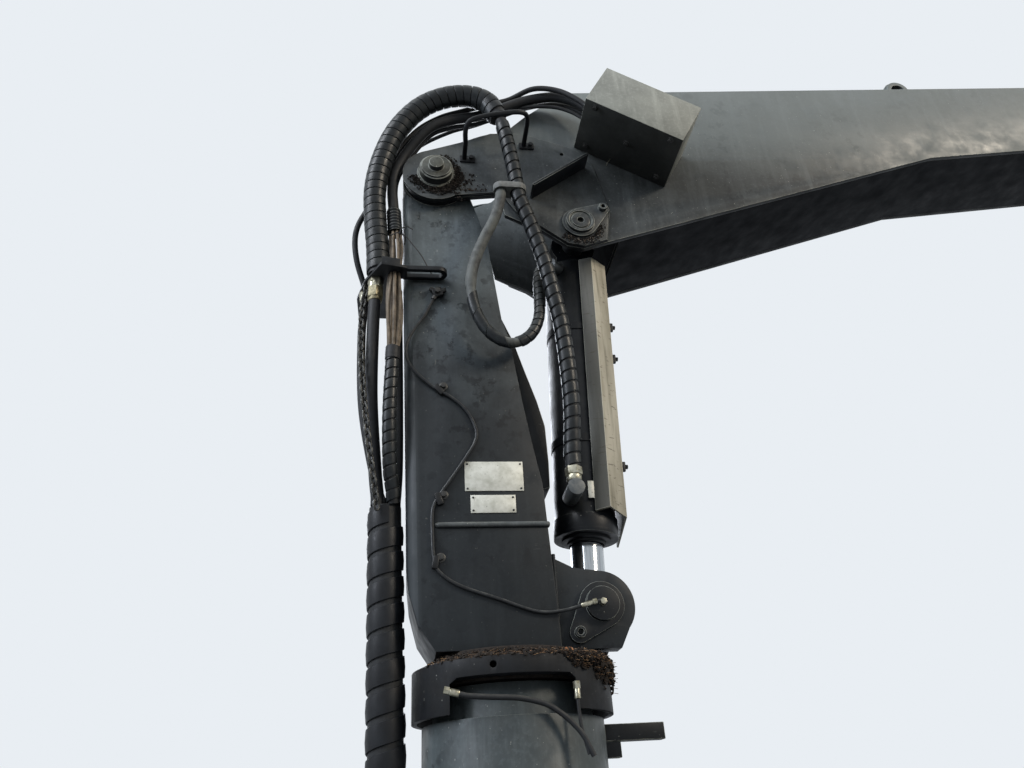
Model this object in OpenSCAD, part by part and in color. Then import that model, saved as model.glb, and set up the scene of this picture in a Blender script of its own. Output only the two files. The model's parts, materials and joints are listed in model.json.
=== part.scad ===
// Loader crane of a forestry forwarder: slewing base, pillar, lift cylinder and main boom
// Lengths are in millimetres. +X runs out along the boom and +Z is up.
// The origin is where the slew axis meets the mount face under the base.
// A pair [x, z] is a point in the crane's middle plane, seen from the -Y side.

/* [Base] */
// Diameter of the mount flange
flange_d = 620; // [600:10:700]
// Thickness of the mount flange
flange_t = 40; // [25:5:60]
// Pitch circle of the mount bolts
bolt_pcd = 560; // [540:5:570]
// Diameter of a mount bolt hole
bolt_hole_d = 26; // [18:1:33]
// Number of mount bolts
bolt_count = 12; // [8:1:16]
// Diameter of the round housing
drum_d = 390; // [370:5:400]
// Height of the drum's wide part
drum_h = 360; // [320:5:365]
// Gap between the drum's neck and the inside of the collar's band
neck_gap = 33; // [20:1:40]
// Height of the neck's top face
neck_h = 424; // [400:2:426]
// Diameter of the slew cylinders' tubes
slew_tube_d = 130; // [100:5:140]
// Length of a slew cylinder outside the gear case
slew_tube_l = 270; // [200:10:340]
// Distance from the slew axis to a slew cylinder's axis
slew_tube_y = 165; // [150:5:180]
// Height of the slew cylinders' axes
slew_tube_z = 150; // [130:5:160]

/* [Collar] */
// Outer diameter of the dust collar
collar_d = 434; // [425:1:450]
// Wall of the collar's band
collar_wall = 12; // [8:1:14]
// Gap between the drum's top and the collar's lower edge
collar_gap = 8; // [3:1:20]
// Height of the collar's shoulder over the neck's top face
collar_over = 44; // [35:1:60]
// Width of the collar's lid inside its band
lid_w = 24; // [15:1:40]
// Rise of the sloped top from the shoulder to the inner edge
collar_rise = 17; // [10:1:20]

/* [Slew column] */
// Diameter of the slew shaft
shaft_d = 240; // [200:2:260]
// Lowest point of the slew shaft
shaft_low = 70; // [60:5:120]
// Gap between the foot disc and the collar's lid
foot_gap = 6; // [3:0.5:10]
// Rise of the foot disc over the neck's top face
foot_rise = 6; // [3:0.5:12]
// Thickness of the foot disc
foot_t = 63; // [50:1:80]

/* [Pillar] */
// Width of the pillar across its side plates
pillar_w = 256; // [240:2:262]
// Bend radius of the pillar's front corners
pillar_bend = 34; // [20:2:45]
// Width of the stiffener on the pillar's rear face
rib_w = 120; // [90:5:180]

/* [Pivots] */
// Boom pivot, distance along X from the slew axis
pivot_x = -163; // [-180:1:-150]
// Boom pivot, height
pivot_z = 1798; // [1780:1:1820]
// Diameter of the boom pivot pin
pivot_pin_d = 70; // [60:2:80]
// Radius of the pillar's head round the pivot
head_r = 93; // [88:1:94]
// Lift cylinder's upper pin, distance along X
upper_x = 239; // [230:1:250]
// Lift cylinder's upper pin, height
upper_z = 1633; // [1625:1:1640]
// Lift cylinder's lower pin, distance along X
lower_x = 195; // [190:1:205]
// Rise of the lift cylinder's lower pin over the foot disc
lower_rise = 91; // [85:1:100]
// Diameter of the lift cylinder's pins
cyl_pin_d = 60; // [50:2:64]

/* [Lugs] */
// Clear width between the two lugs
lug_gap = 124; // [118:2:130]
// Thickness of a lug
lug_t = 45; // [35:1:50]
// Radius of a lug round its pin
lug_r = 77; // [72:1:80]

/* [Boom] */
// Width of the boom across its webs
boom_w = 300; // [296:2:310]
// Thickness of a boom web
web_t = 14; // [10:1:16]
// Thickness of the plate that doubles the web at the root
doubler_t = 10; // [6:1:12]
// Thickness of the boom's flanges
boom_flange_t = 12; // [8:1:16]
// Distance from the slew axis to the jib pin
tip_x = 3330; // [3000:10:3600]
// Depth of the boom at its tip
tip_depth = 225; // [200:5:260]
// Diameter of the jib pin's bore
jib_bore_d = 70; // [50:1:80]

/* [Lift cylinder] */
// Outer diameter of the barrel
barrel_d = 150; // [140:1:156]
// Bore of the barrel
bore_d = 120; // [110:1:126]
// Diameter of the rod
rod_d = 80; // [70:1:86]
// Distance from the upper pin to the gland's outer face
barrel_l = 868; // [840:1:880]
// Radial clearance of each running fit
fit_gap = 0.05; // [0.02:0.01:0.1]
// Width of the cylinder's eyes
eye_w = 110; // [100:2:112]

/* [Hoses] */
// Outer diameter of the large hose bundle's guard
bundle_d = 84; // [70:1:90]
// Outer diameter of the bundle over the pivot
arc_d = 54; // [40:1:60]
// Outer diameter of the guarded hose to the lift cylinder
feed_d = 37; // [28:1:40]
// Outer diameter of the plain hose that loops to the barrel
loop_d = 30; // [22:1:32]

/* [Chain] */
// Thickness of a chain link's wire
link_wire = 6; // [5:0.5:6.5]
// Distance between the middles of two links
link_pitch = 18.2; // [17:0.1:20]

/* [Hidden] */
$fn = 64;
seat = 0.3;

// Heights of the slew joint's rings, from the base up
collar_low = drum_h + collar_gap;
collar_high = neck_h + collar_over;
foot_low = neck_h + foot_rise;
pillar_low = foot_low + foot_t;

// Rings inside the collar, and half the gear case's length
band_d = collar_d - 2 * collar_wall;
neck_d = band_d - 2 * neck_gap;
lid_d = band_d - 2 * lid_w;
foot_d = lid_d - 2 * foot_gap;
slew_rim = 9;
case_half = sqrt(pow(drum_d / 2 + 1, 2) - pow(slew_tube_y - slew_tube_d / 2 - slew_rim, 2));

PIVOT = [pivot_x, pivot_z];
UPPER = [upper_x, upper_z];
LOWER = [lower_x, pillar_low + lower_rise];

// Half widths across the crane, from the middle plane outwards
lug_in = lug_gap / 2;
lug_out = lug_in + lug_t;
web_out = boom_w / 2;
web_in = web_out - web_t;
doubler_out = web_out + doubler_t;

// Boom line: the bottom haunch rises to a straight beam that tapers to the tip
flange_start_x = 356;
haunch_x = 1440;
haunch_rise = 0.356;
top_rise = 0.105;
WEB_LOW = [314, 1578];
WEB_TOP = [260, 2184];
function haunch_z(x) = WEB_LOW[1] + 2 + (x - WEB_LOW[0]) * haunch_rise;
function top_z(x) = WEB_TOP[1] + (x - WEB_TOP[0]) * top_rise;
tip_end = tip_x - 150;
bracket_low = 1446;
bracket_top = 1454;
function bottom_end_z() = top_z(tip_end) - tip_depth;

// Extrudes a shape drawn in [x, z] between two places across the crane
module across(y0, y1) {
    translate([0, y1, 0]) rotate([90, 0, 0]) linear_extrude(y1 - y0) children();
}

// Puts the same piece on the near and the far side
module both_sides() {
    children();
    mirror([0, 1, 0]) children();
}

// Round bar across the crane at a point [x, z]
module bar_at(p, d, y0, y1) {
    translate([p[0], y1, p[1]]) rotate([90, 0, 0]) cylinder(d = d, h = y1 - y0);
}

// Unit direction and its left normal
function unit(v) = v / norm(v);
function left(v) = [-v[1], v[0]];

// Flat shape of two discs joined by their tangents
module strap(p, r, q, s) {
    d = norm(q - p);
    u = unit(q - p);
    n = left(u);
    a = asin((r - s) / d);
    t1 = u * sin(a) + n * cos(a);
    t2 = u * sin(a) - n * cos(a);
    translate(p) circle(r);
    translate(q) circle(s);
    polygon([p + t1 * r, q + t1 * s, q + t2 * s, p + t2 * r]);
}

// Band of a given thickness below an open line of [x, z] points
function offset_at(line, i) =
    let(last = len(line) - 1)
    let(a = unit(line[min(i + 1, last)] - line[min(i, last - 1)]))
    let(b = unit(line[max(i, 1)] - line[max(i - 1, 0)]))
    let(n = unit(left(a) + left(b)))
    n / (n * left(a));
module band(line, t) {
    last = len(line) - 1;
    polygon(concat(line, [for (i = [last:-1:0]) line[i] - offset_at(line, i) * t]));
}

// Smooth route through hand-chosen points, with its first and last stretch left straight
function route_at(p, i, t) =
    let(n = len(p) - 1)
    let(a = p[max(i - 1, 0)], b = p[i], c = p[min(i + 1, n)], d = p[min(i + 2, n)])
    0.5 * (2 * b + (c - a) * t + (2 * a - 5 * b + 4 * c - d) * t * t + (3 * b - a - 3 * c + d) * t * t * t);
function smooth(p, k) = concat(
    [p[0]],
    [for (i = [1:len(p) - 3], j = [0:k - 1]) route_at(p, i, j / k)],
    [p[len(p) - 2], p[len(p) - 1]]);

// Frames carried along a route without twist
function heading(p, i) = unit(p[min(i + 1, len(p) - 1)] - p[max(i - 1, 0)]);
function square_to(v, t) = unit(v - (v * t) * t);
function sides(p, i, v) =
    i == len(p) ? [] : let(s = square_to(v, heading(p, i))) concat([s], sides(p, i + 1, s));

// Round hose swept along a route, as one closed solid with n sides
module hose(route, d, k = 3, n = 8) {
    p = smooth(route, k);
    s = sides(p, 0, abs(heading(p, 0)[1]) > 0.8 ? [1, 0, 0] : [0, 1, 0]);
    m = len(p);
    rings = [for (i = [0:m - 1], j = [0:n - 1])
        p[i] + d / 2 * (cos(360 * j / n) * s[i] + sin(360 * j / n) * cross(heading(p, i), s[i]))];
    walls = [for (i = [0:m - 2], j = [0:n - 1])
        [i * n + j, i * n + (j + 1) % n, (i + 1) * n + (j + 1) % n, (i + 1) * n + j]];
    first = [for (j = [n - 1:-1:0]) j];
    final = [for (j = [0:n - 1]) (m - 1) * n + j];
    polyhedron(rings, concat(walls, [first, final]));
}

// Hose routes, in millimetres
arc_route = [
    [-316, -128, bracket_top + seat], [-316, -128, 1468], [-320, -130, 1545], [-329, -138, 1640],
    [-332, -150, 1740], [-314, -166, 1840], [-276, -184, 1935], [-212, -200, 2015], [-136, -214, 2052],
    [-62, -222, 2054], [-8, -226, 2022], [18, -226, 1966]];
feed_route = [
    [24, -226, 1952], [36, -224, 1890], [49, -219, 1800], [58, -213, 1722], [60, -212, 1684],
    [74, -206, 1640], [96, -196, 1575], [122, -184, 1480], [142, -172, 1375], [158, -160, 1280],
    [166, -148, 1160], [168, -138, 1060], [164, -127, 985], [160, -122, 930], [160, -122, 906 + seat]];
loop_route = [
    [14, -216, 1710], [13, -216, 1684], [-4, -206, 1610], [-44, -196, 1520], [-70, -190, 1440],
    [-76, -186, 1370], [-60, -182, 1295], [-24, -178, 1240], [28, -174, 1222], [74, -168, 1252],
    [100, -158, 1310], [108, -146, 1380], [112, -132, 1440], [124, -112, 1500], [150, -94, 1540]];
thick_route = [
    [-268, -146, bracket_top + seat], [-268, -146, 1468], [-270, -140, 1540], [-275, -134, 1610],
    [-280, -132, 1680], [-285, -133, 1750], [-280, -139, 1810], [-250, -149, 1880], [-185, -178, 1958],
    [-116, -182, 1996], [-40, -178, 2022],
    [30, -178, 2058], [110, -186, 2092], [196, -200, 2100], [258, -214, 2066], [300, -224, 2016],
    [335, -226, 1972]];
thin_route = [
    [-356, -62, bracket_top + seat], [-356, -62, 1468], [-376, -84, 1530], [-384, -98, 1590],
    [-378, -106, 1640], [-356, -104, 1700], [-330, -106, 1760], [-306, -122, 1826], [-273, -139, 1898],
    [-218, -157, 1970], [-150, -168, 2018], [-80, -172, 2048],
    [0, -176, 2080], [60, -178, 2102], [130, -212, 2116], [200, -232, 2092], [256, -246, 2040],
    [300, -250, 1984], [330, -252, 1946]];
manifold_x = -drum_d / 2 - 127;
manifold_w = 88;
manifold_h = 200;
bundle_top = [-282, -60, 830];
bundle_low = [manifold_x + 56, -46, flange_t + manifold_h + 2];
clamp_z = 1688;
chain_route = [
    [-346, -98, bracket_low], [-347.4, -100, 1425], [-351.4, -106, 1380], [-354, -117, 1315],
    [-349, -130, 1200], [-340, -137, 1100], [-334, -138.5, 1050], [-327, -138.5, 1000], [-320, -136, 950],
    [-312.5, -130, 900], [-304, -119.5, 850], [-297.5, -107.5, 800]];
lube_route = [
    [-165, -134, 1392], [-192, -134, 1330], [-230, -136, 1262], [-240, -138, 1208],
    [-222, -136, 1165], [-175, -134, 1117], [-156, -134, 1106], [-104, -133, 1066],
    [-75, -133, 1016], [-72, -133, 972], [-106, -134, 912], [-158, -133, 834],
    [-174, -133, 800], [-175, -133, 740], [-170, -133, 676], [-150, -133, 648],
    [-110, -133, 624], [-34, -133, 597], [48, -133, 568], [104, -136, 568], [158, -142, 580],
    [186, -142, 586]];

// Base

module base_housing() {
    color("#2b2f31") difference() {
        union() {
            cylinder(d = flange_d, h = flange_t, $fn = 96);
            cylinder(d = drum_d, h = drum_h, $fn = 96);
            translate([0, 0, drum_h - 1]) cylinder(d = neck_d, h = neck_h - drum_h + 1, $fn = 96);
            translate([-case_half, -slew_tube_y - 70, flange_t - 1])
                cube([2 * case_half, 2 * slew_tube_y + 140, 191]);
            for (a = [0, 90, 270]) rotate(a) translate([0, -12, flange_t - 1])
                rotate([90, 0, 90]) linear_extrude(flange_d / 2 - 40) square([24, 120]);
        }
        translate([0, 0, shaft_low - 10]) cylinder(d = shaft_d, h = neck_h, $fn = 96);
        for (i = [0:bolt_count - 1]) rotate((i + 0.5) * 360 / bolt_count)
            translate([bolt_pcd / 2, 0, -1]) cylinder(d = bolt_hole_d, h = flange_t + 2);
    }
}

module slew_cylinders() {
    rim_d = slew_tube_d + 2 * slew_rim;
    for (side = [-1, 1])
    translate([side * (case_half + seat), slew_tube_y, slew_tube_z]) rotate([0, side * 90, 0]) {
        cylinder(d = slew_tube_d, h = slew_tube_l);
        cylinder(d = rim_d, h = 24);
        translate([0, 0, slew_tube_l - 34]) cylinder(d = rim_d, h = 34);
        translate([0, 0, slew_tube_l]) cylinder(d = 46, h = 14, $fn = 6);
    }
}
module slew_cylinders_near() { color("#303436") mirror([0, 1, 0]) slew_cylinders(); }
module slew_cylinders_far() { color("#303436") slew_cylinders(); }

// Dust collar: a sloped lid on a deep band, cut back over the grease fitting
module base_collar() {
    color("#26292b") difference() {
        rotate_extrude($fn = 96) polygon([
            [band_d / 2, collar_low], [collar_d / 2, collar_low],
            [collar_d / 2, collar_high], [lid_d / 2, collar_high + collar_rise],
            [lid_d / 2, neck_h + 8 + seat], [band_d / 2, neck_h + 8 + seat]]);
        across(-collar_d / 2 - 60, 100 - collar_d / 2) polygon([
            [-143, collar_low - 8], [-143, neck_h], [-129, neck_h + 10], [95, neck_h + 10],
            [107, neck_h], [107, collar_low - 8]]);
        bar_at([-59, collar_high - 16], 14, -collar_d, 67 - collar_d / 2);
    }
    color("#26292b") for (a = [90, 210, 330]) rotate(a) translate([neck_d / 2 + seat, -20, neck_h - 40])
        cube([neck_gap - seat + 2, 40, 16]);
}

// Steel block on the flange where the large bundle's hoses enter from below
module hose_manifold() {
    color("#34383a") difference() {
        translate([manifold_x, -manifold_w, flange_t]) cube([112, manifold_w, manifold_h]);
        translate([manifold_x + 32, -manifold_w - 1, flange_t - 1]) cube([140, manifold_w + 2, 60]);
    }
}

module stop_bar() {
    color("#1f2224") {
        translate([drum_d / 2 + seat, -18, drum_h - 42]) cube([133, 36, 34]);
        translate([drum_d / 2 + seat, -14, drum_h - 74]) cube([34, 28, 32]);
    }
}

// Pillar

// The plates stop short of the pivot and are cut out to the head's tube
saddle = 40;
pillar_line = [
    [-168, pillar_low], [-205, 548], [-225, 620], [-238, 740], [-300, 780], [-300, pivot_z - saddle],
    [pivot_x + head_r, pivot_z - saddle], [-39, 1652], [-20, 1566], [-6, 1433], [7, 1324], [25, 1256],
    [47, 1080], [65, 960], [82, 862], [86, 787], [91, 656], [95, 560], [95, pillar_low]];
pillar_front = -232;
pillar_front_z = 686;
pillar_lean = atan((pillar_front - pivot_x + head_r + 2) / (pivot_z - pillar_front_z));

// Plan of the folded plates: square at the back, bent round at the front corners
module pillar_plan() {
    half = pillar_w / 2;
    step = 15;
    polygon(concat(
        [[460, -half], [460, half]],
        [for (a = [90:step:180])
            [pillar_bend + pillar_bend * cos(a), half - pillar_bend + pillar_bend * sin(a)]],
        [for (a = [180:step:270])
            [pillar_bend + pillar_bend * cos(a), pillar_bend - half + pillar_bend * sin(a)]]));
}

module pillar_column() {
    color("#2f3335") difference() {
        intersection() {
            across(-pillar_w, pillar_w) polygon(pillar_line);
            translate([pillar_front, 0, pillar_front_z]) rotate([0, -pillar_lean, 0])
                translate([0, 0, -300]) linear_extrude(1700) pillar_plan();
        }
        bar_at(PIVOT, 2 * (head_r + seat), -pillar_w, pillar_w);
    }
}

// Tube across the pillar's top that the boom's pivot pin runs in
module pillar_head() {
    color("#2b2f31") difference() {
        bar_at(PIVOT, 2 * head_r, -pillar_w / 2, pillar_w / 2);
        bar_at(PIVOT, pivot_pin_d + 2 * fit_gap, -pillar_w, pillar_w);
    }
}

module pillar_foot() {
    color("#2a2d2f") {
        translate([0, 0, foot_low]) cylinder(d = foot_d, h = pillar_low - foot_low, $fn = 96);
        translate([0, 0, shaft_low]) cylinder(d = shaft_d - 2 * fit_gap, h = foot_low - shaft_low, $fn = 96);
    }
}

module pillar_rib() {
    color("#1d2022") across(-rib_w / 2, rib_w / 2) difference() {
        polygon([[0, 1380], [14, 1378], [44, 1302], [70, 1208], [96, 1119], [112, 1047], [114, 945],
            [112, 880], [70, 870], [-20, 1000]]);
        polygon(pillar_line);
    }
}

// Lugs for the cylinder's lower pin, with the keeper's seat cut by none
module lug_shape() {
    translate(LOWER) circle(lug_r);
    polygon([[60, pillar_low], [60, 706], [95, 692], [140, 669], LOWER + lug_r * [0.05, 1],
        LOWER + lug_r * [0.96, -0.28], [232, pillar_low]]);
}
module pillar_lugs() {
    color("#2f3335") both_sides() difference() {
        across(lug_in, lug_out) difference() {
            lug_shape();
            polygon(pillar_line);
        }
        bar_at(LOWER, cyl_pin_d, 0, lug_out + 1);
    }
}

keeper_t = 12;
keeper_bolt = [-55, -59];
module lower_pin_keepers() {
    color("#3a3e40") both_sides() difference() {
        union() {
            across(lug_out, lug_out + keeper_t) strap(LOWER, 50, LOWER + keeper_bolt, 22);
            bar_at(LOWER, 74, lug_out + keeper_t, lug_out + 2 * keeper_t);
            bar_at(LOWER, cyl_pin_d - 1, lug_in + 1, lug_out);
            bar_at(LOWER + keeper_bolt, 24, lug_out + keeper_t, lug_out + keeper_t + 10);
        }
        bar_at(LOWER + keeper_bolt, 13, lug_out + keeper_t, lug_out + keeper_t + 11);
    }
}

// Folded plate round the pillar's front corner, with a lip, and a bar bent to a loop along the side
loop_bar = 12;
loop_r = 23;
function u_bend(c, r, back) = concat(
    [c + [-back, -r]],
    [for (a = [-90:15:90]) c + r * [cos(a), sin(a)]],
    [c + [-back, r]]);
module hose_bracket() {
    side = -pillar_w / 2 - seat;
    bend = [-158, side - loop_r];
    color("#2b2f31") {
        translate([0, 0, bracket_low]) linear_extrude(bracket_top - bracket_low) polygon([
            [-240, side], [-240, -176], [-305, -190], [-352, -110],
            [-376, -30], [-376, 60], [-262, 60], [-262, side]]);
        translate([0, 0, bracket_top - 1]) linear_extrude(19)
            polygon([[-258, -179.9], [-305, -190], [-305, -184], [-258, -173.9]]);
        translate([0, 0, bracket_low - 2]) linear_extrude(loop_bar) difference() {
            polygon(u_bend(bend, loop_r, 92));
            polygon(u_bend(bend, loop_r - loop_bar, 82));
        }
    }
}

// Hoses that run down the pillar's front corner from the bracket
module pillar_hoses() {
    color("#1b1d1f") {
        hose([
            [-322, -118, bracket_low - 28], [-322, -118, 1400], [-324, -118, 1300], [-322, -108, 1100],
            [-308, -88, 920], [-300, -78, 848], [-300, -78, 830]], 32);
        hose([
            [-272, -146, bracket_low - seat], [-272, -146, 1410], [-271, -144, 1250], [-276, -136, 1050],
            [-272, -112, 910], [-262, -86, 848], [-262, -86, 830.7]], 26);
        hose([
            [-352, -60, bracket_low - 28], [-352, -60, 1400], [-356, -60, 1300], [-346, -56, 1100],
            [-312, -44, 920], [-288, -36, 848], [-288, -36, 831.1]], 22);
    }
}

// Ferrule and nut that join each of two pillar hoses to the bracket from below
module bracket_fittings() {
    color("#8d8a7c") for (p = [[-322, -118, 32], [-352, -60, 22]]) translate([p[0], p[1], bracket_low]) {
        translate([0, 0, seat - 28]) cylinder(d = p[2] + 6, h = 14.5);
        translate([0, 0, -14]) cylinder(d = p[2] + 10, h = 14 - seat, $fn = 6);
    }
}

// Wide spiral guard round the bundle: stepped turns on a straight core
module hose_guard() {
    d = bundle_top - bundle_low;
    l = norm(d);
    pitch = 57;
    turns = floor(l / pitch);
    color("#151719") translate(bundle_low) rotate([0, acos(d[2] / l), atan2(d[1], d[0])]) union() {
        cylinder(d = bundle_d - 10, h = l, $fn = 32);
        for (i = [0:turns - 1]) translate([0, 0, i * pitch]) cylinder(d = bundle_d, h = pitch - 7, $fn = 32);
    }
}

// Chain from the bracket down to the guard: wire links, each turned a quarter against the last
link_in_l = link_pitch + seat;
link_r = link_wire + 1.2;
link_s = (link_in_l + link_wire) / 2 - link_r;
module chain_link(c, u, v) {
    n = 6;
    stations = [for (end = [0, 1], a = [0:45:180]) [1 - 2 * end, a + 180 * end]];
    m = len(stations);
    function out(t) = v * cos(t[1]) + u * sin(t[1]);
    function onward(t) = u * cos(t[1]) - v * sin(t[1]);
    rings = [for (t = stations, j = [0:n - 1])
        c + t[0] * link_s * u + link_r * out(t)
        + link_wire / 2 * (cos(360 * j / n) * out(t) + sin(360 * j / n) * cross(onward(t), out(t)))];
    walls = [for (i = [0:m - 1], j = [0:n - 1])
        [i * n + j, i * n + (j + 1) % n, (i + 1) % m * n + (j + 1) % n, (i + 1) % m * n + j]];
    polyhedron(rings, walls);
}

function along(p, s, i = 0) = let(d = norm(p[i + 1] - p[i]))
    s <= d || i == len(p) - 2 ? p[i] + (p[i + 1] - p[i]) * s / d : along(p, s - d, i + 1);
function length_of(p, i = 0) = i == len(p) - 1 ? 0 : norm(p[i + 1] - p[i]) + length_of(p, i + 1);

module hose_chain() {
    p = smooth(chain_route, 6);
    half = link_in_l / 2 + link_wire;
    count = 1 + floor((length_of(p) - 2 * half - seat) / link_pitch);
    color("#7d7a70") for (i = [0:count - 1])
        let(s = half + seat + i * link_pitch)
        let(u = unit(along(p, s + 4) - along(p, s - 4)))
        let(v = square_to([1, i % 2 == 0 ? 1 : -1, 0], u))
        chain_link(along(p, s), u, v);
}

module nameplates() {
    color("#9a9b97") across(-pillar_w / 2 - 2, -pillar_w / 2) {
        polygon([[-100, 845], [37, 845], [37, 918], [-100, 918]]);
        polygon([[-88, 792], [16, 792], [16, 835], [-88, 835]]);
    }
}

module lube_line() {
    color("#1a1c1e") hose(lube_route, 8, 2);
}

// Boom

// Side outline of a web, from the nose round the pivot out to the tip
module web_shape() {
    nose_r = 88;
    union() {
        translate(PIVOT) circle(nose_r + 2);
        polygon([
            PIVOT + nose_r * [-0.2, -1], [17, 1738], [30, 1664], [76, 1640], [128, 1616], [200, 1560],
            [246, 1552], WEB_LOW, [haunch_x, haunch_z(haunch_x)], [tip_end, bottom_end_z()],
            [tip_end, top_z(tip_end)], WEB_TOP, [190, 2134], [112, 2065], [30, 1975],
            PIVOT + nose_r * [0.2, 1]]);
    }
}

module boom_web() {
    difference() {
        across(web_in, web_out) web_shape();
        bar_at(PIVOT, pivot_pin_d, 0, boom_w);
        bar_at(UPPER, cyl_pin_d, 0, boom_w);
    }
}
module boom_web_near() { color("#3a3f41") mirror([0, 1, 0]) boom_web(); }
module boom_web_far() { color("#3a3f41") boom_web(); }

// Flanges lie between the webs
module boom_top_flange() {
    color("#33383a") across(-web_in + seat, web_in - seat)
        band([[112, 2065], [190, 2134], WEB_TOP, [tip_end - 2, top_z(tip_end - 2)]], boom_flange_t);
}

module boom_bottom_flange() {
    line = [
        [tip_end, bottom_end_z()], [haunch_x, haunch_z(haunch_x)],
        [flange_start_x, haunch_z(flange_start_x)]];
    color("#33383a") across(-web_in + seat, web_in - seat) band(line, boom_flange_t);
}

// Plate that closes the beam behind the cylinder's upper eye
module boom_diaphragm() {
    color("#202325") across(-web_in + seat, web_in - seat)
        band([
            [flange_start_x + 12, haunch_z(flange_start_x + 23) + boom_flange_t + 1], [350, 1720], [230, 1900],
            [150, 2080]], 10);
}

module boom_tip() {
    ear_r = 85;
    JIB = [tip_x, top_z(tip_end) - tip_depth / 2];
    color("#33383a") difference() {
        union() {
            translate([tip_end + seat, -web_out, bottom_end_z()]) cube([40, boom_w, tip_depth]);
            both_sides() across(70, 110) union() {
                translate(JIB) circle(ear_r);
                polygon([
                    [tip_end + 40, bottom_end_z() + 8], [tip_end + 40, top_z(tip_end) - 8],
                    JIB + [0, ear_r], JIB - [0, ear_r]]);
            }
        }
        bar_at(JIB, jib_bore_d, -150, 150);
    }
}

// Lugs on the top flange for the cylinder that moves the jib
jib_lug_x = 1500;
module jib_cylinder_lugs() {
    eye = [jib_lug_x, top_z(jib_lug_x) + 78];
    base_z = top_z(jib_lug_x - 130) + seat;
    color("#303436") both_sides() difference() {
        union() {
            across(48, 70) {
                translate(eye) circle(46);
                polygon([
                    eye + [-46, 8], eye + [46, 8], [jib_lug_x + 130, top_z(jib_lug_x + 130) + seat],
                    [jib_lug_x - 130, base_z]]);
            }
            bar_at(eye, 80, 70, 80);
        }
        bar_at(eye, 50, 0, 90);
    }
}

// Root doublers carry both pins outside the webs
module doubler_shape() {
    difference() {
        union() {
            translate(PIVOT) circle(94);
            polygon([
                PIVOT + [-30, -89], [17, 1741], [76, 1645], [128, 1620], [200, 1564], [246, 1555],
                [312, 1580], [330, 1700], [300, 1860], [252, 1925], [96, 1978], [0, 1972], [-90, 1929],
                PIVOT + [-44, 83]]);
        }
        translate([211, 1901]) circle(d = 12);
    }
}
module root_doubler() {
    difference() {
        across(web_out, doubler_out) doubler_shape();
        bar_at(PIVOT, pivot_pin_d, 0, boom_w);
        bar_at(UPPER, cyl_pin_d, 0, boom_w);
    }
}
module root_doubler_near() { color("#44494b") mirror([0, 1, 0]) root_doubler(); }
module root_doubler_far() { color("#44494b") root_doubler(); }

module boom_pivot_pin() {
    color("#4a4d4d") {
        bar_at(PIVOT, pivot_pin_d, -doubler_out, doubler_out);
        both_sides() {
            bar_at(PIVOT, 108, doubler_out, doubler_out + 6);
            bar_at(PIVOT, 94, doubler_out + 6, doubler_out + 28);
            bar_at(PIVOT, 84, doubler_out + 28, doubler_out + 33);
            bar_at(PIVOT, 42, doubler_out + 33, doubler_out + 48);
        }
    }
}

// Ring groove in a pin's end face
module rotate_groove(p, outer_d, inner_d, y, depth) {
    translate([p[0], y + depth, p[1]]) rotate([90, 0, 0]) difference() {
        cylinder(d = outer_d, h = depth);
        translate([0, 0, -1]) cylinder(d = inner_d, h = depth + 2);
    }
}

module upper_pin() {
    color("#4a4d4d") {
        bar_at(UPPER, cyl_pin_d, -doubler_out, doubler_out);
        both_sides() difference() {
            union() {
                across(doubler_out, doubler_out + 8) strap(UPPER, 50, UPPER + [70, 53], 20);
                bar_at(UPPER, 80, doubler_out + 8, doubler_out + 18);
                bar_at(UPPER + [70, 53], 24, doubler_out + 8, doubler_out + 20);
            }
            rotate_groove(UPPER, 64, 52, doubler_out + 14, 5);
            bar_at(UPPER, 18, doubler_out + 4, doubler_out + 19);
            bar_at(UPPER + [70, 53], 12, doubler_out + 8, doubler_out + 21);
        }
    }
}

module hose_guide() {
    rod = 14;
    color("#1c1f21") hose([
        [-81, -doubler_out, 1860], [-81, -220, 1860], [-84, -270, 1858], [-74, -296, 1868],
        [-30, -302, 1885], [30, -302, 1902], [72, -298, 1912], [92, -276, 1920], [97, -220, 1925],
        [97, -doubler_out, 1925]], rod, 3);
}

// Folded cover bolted to the web over the hose joints
cover_a = [253, 1943];
cover_tilt = -29.5;
cover_l = 300;
cover_h = 157;
cover_depth = 184;
module hose_cover() {
    t = 6;
    color("#2a2e30") mirror([0, 1, 0]) difference() {
        across(web_out, web_out + cover_depth)
            translate(cover_a) rotate(cover_tilt) square([cover_l, cover_h]);
        across(web_out - 1, web_out + cover_depth - t) translate(cover_a) rotate(cover_tilt)
            translate([-1, t]) square([cover_l - t + 1, cover_h]);
    }
}

// Flat bar that stands out from the doubler and runs up behind the cover
module cover_bracket() {
    color("#1f2224") mirror([0, 1, 0]) across(doubler_out, doubler_out + 56)
        band([[103, 1724], [272, 1856]], 8);
}

module boom_hoses() {
    color("#1b1d1f") {
        hose(thick_route, 30);
        hose(thin_route, 16);
    }
}

// Lift cylinder, drawn along its own axis from the upper pin down to the lower one

pin_span = norm(UPPER - LOWER);
cyl_lean = atan2(UPPER[0] - LOWER[0], UPPER[1] - LOWER[1]);
module from_upper() { translate([UPPER[0], 0, UPPER[1]]) rotate([0, 180 + cyl_lean, 0]) children(); }
module from_lower() { translate([LOWER[0], 0, LOWER[1]]) rotate([0, cyl_lean, 0]) children(); }
cap_l = 105;
gland_l = 70;
piston_l = 60;
head_room = 30;

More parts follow.
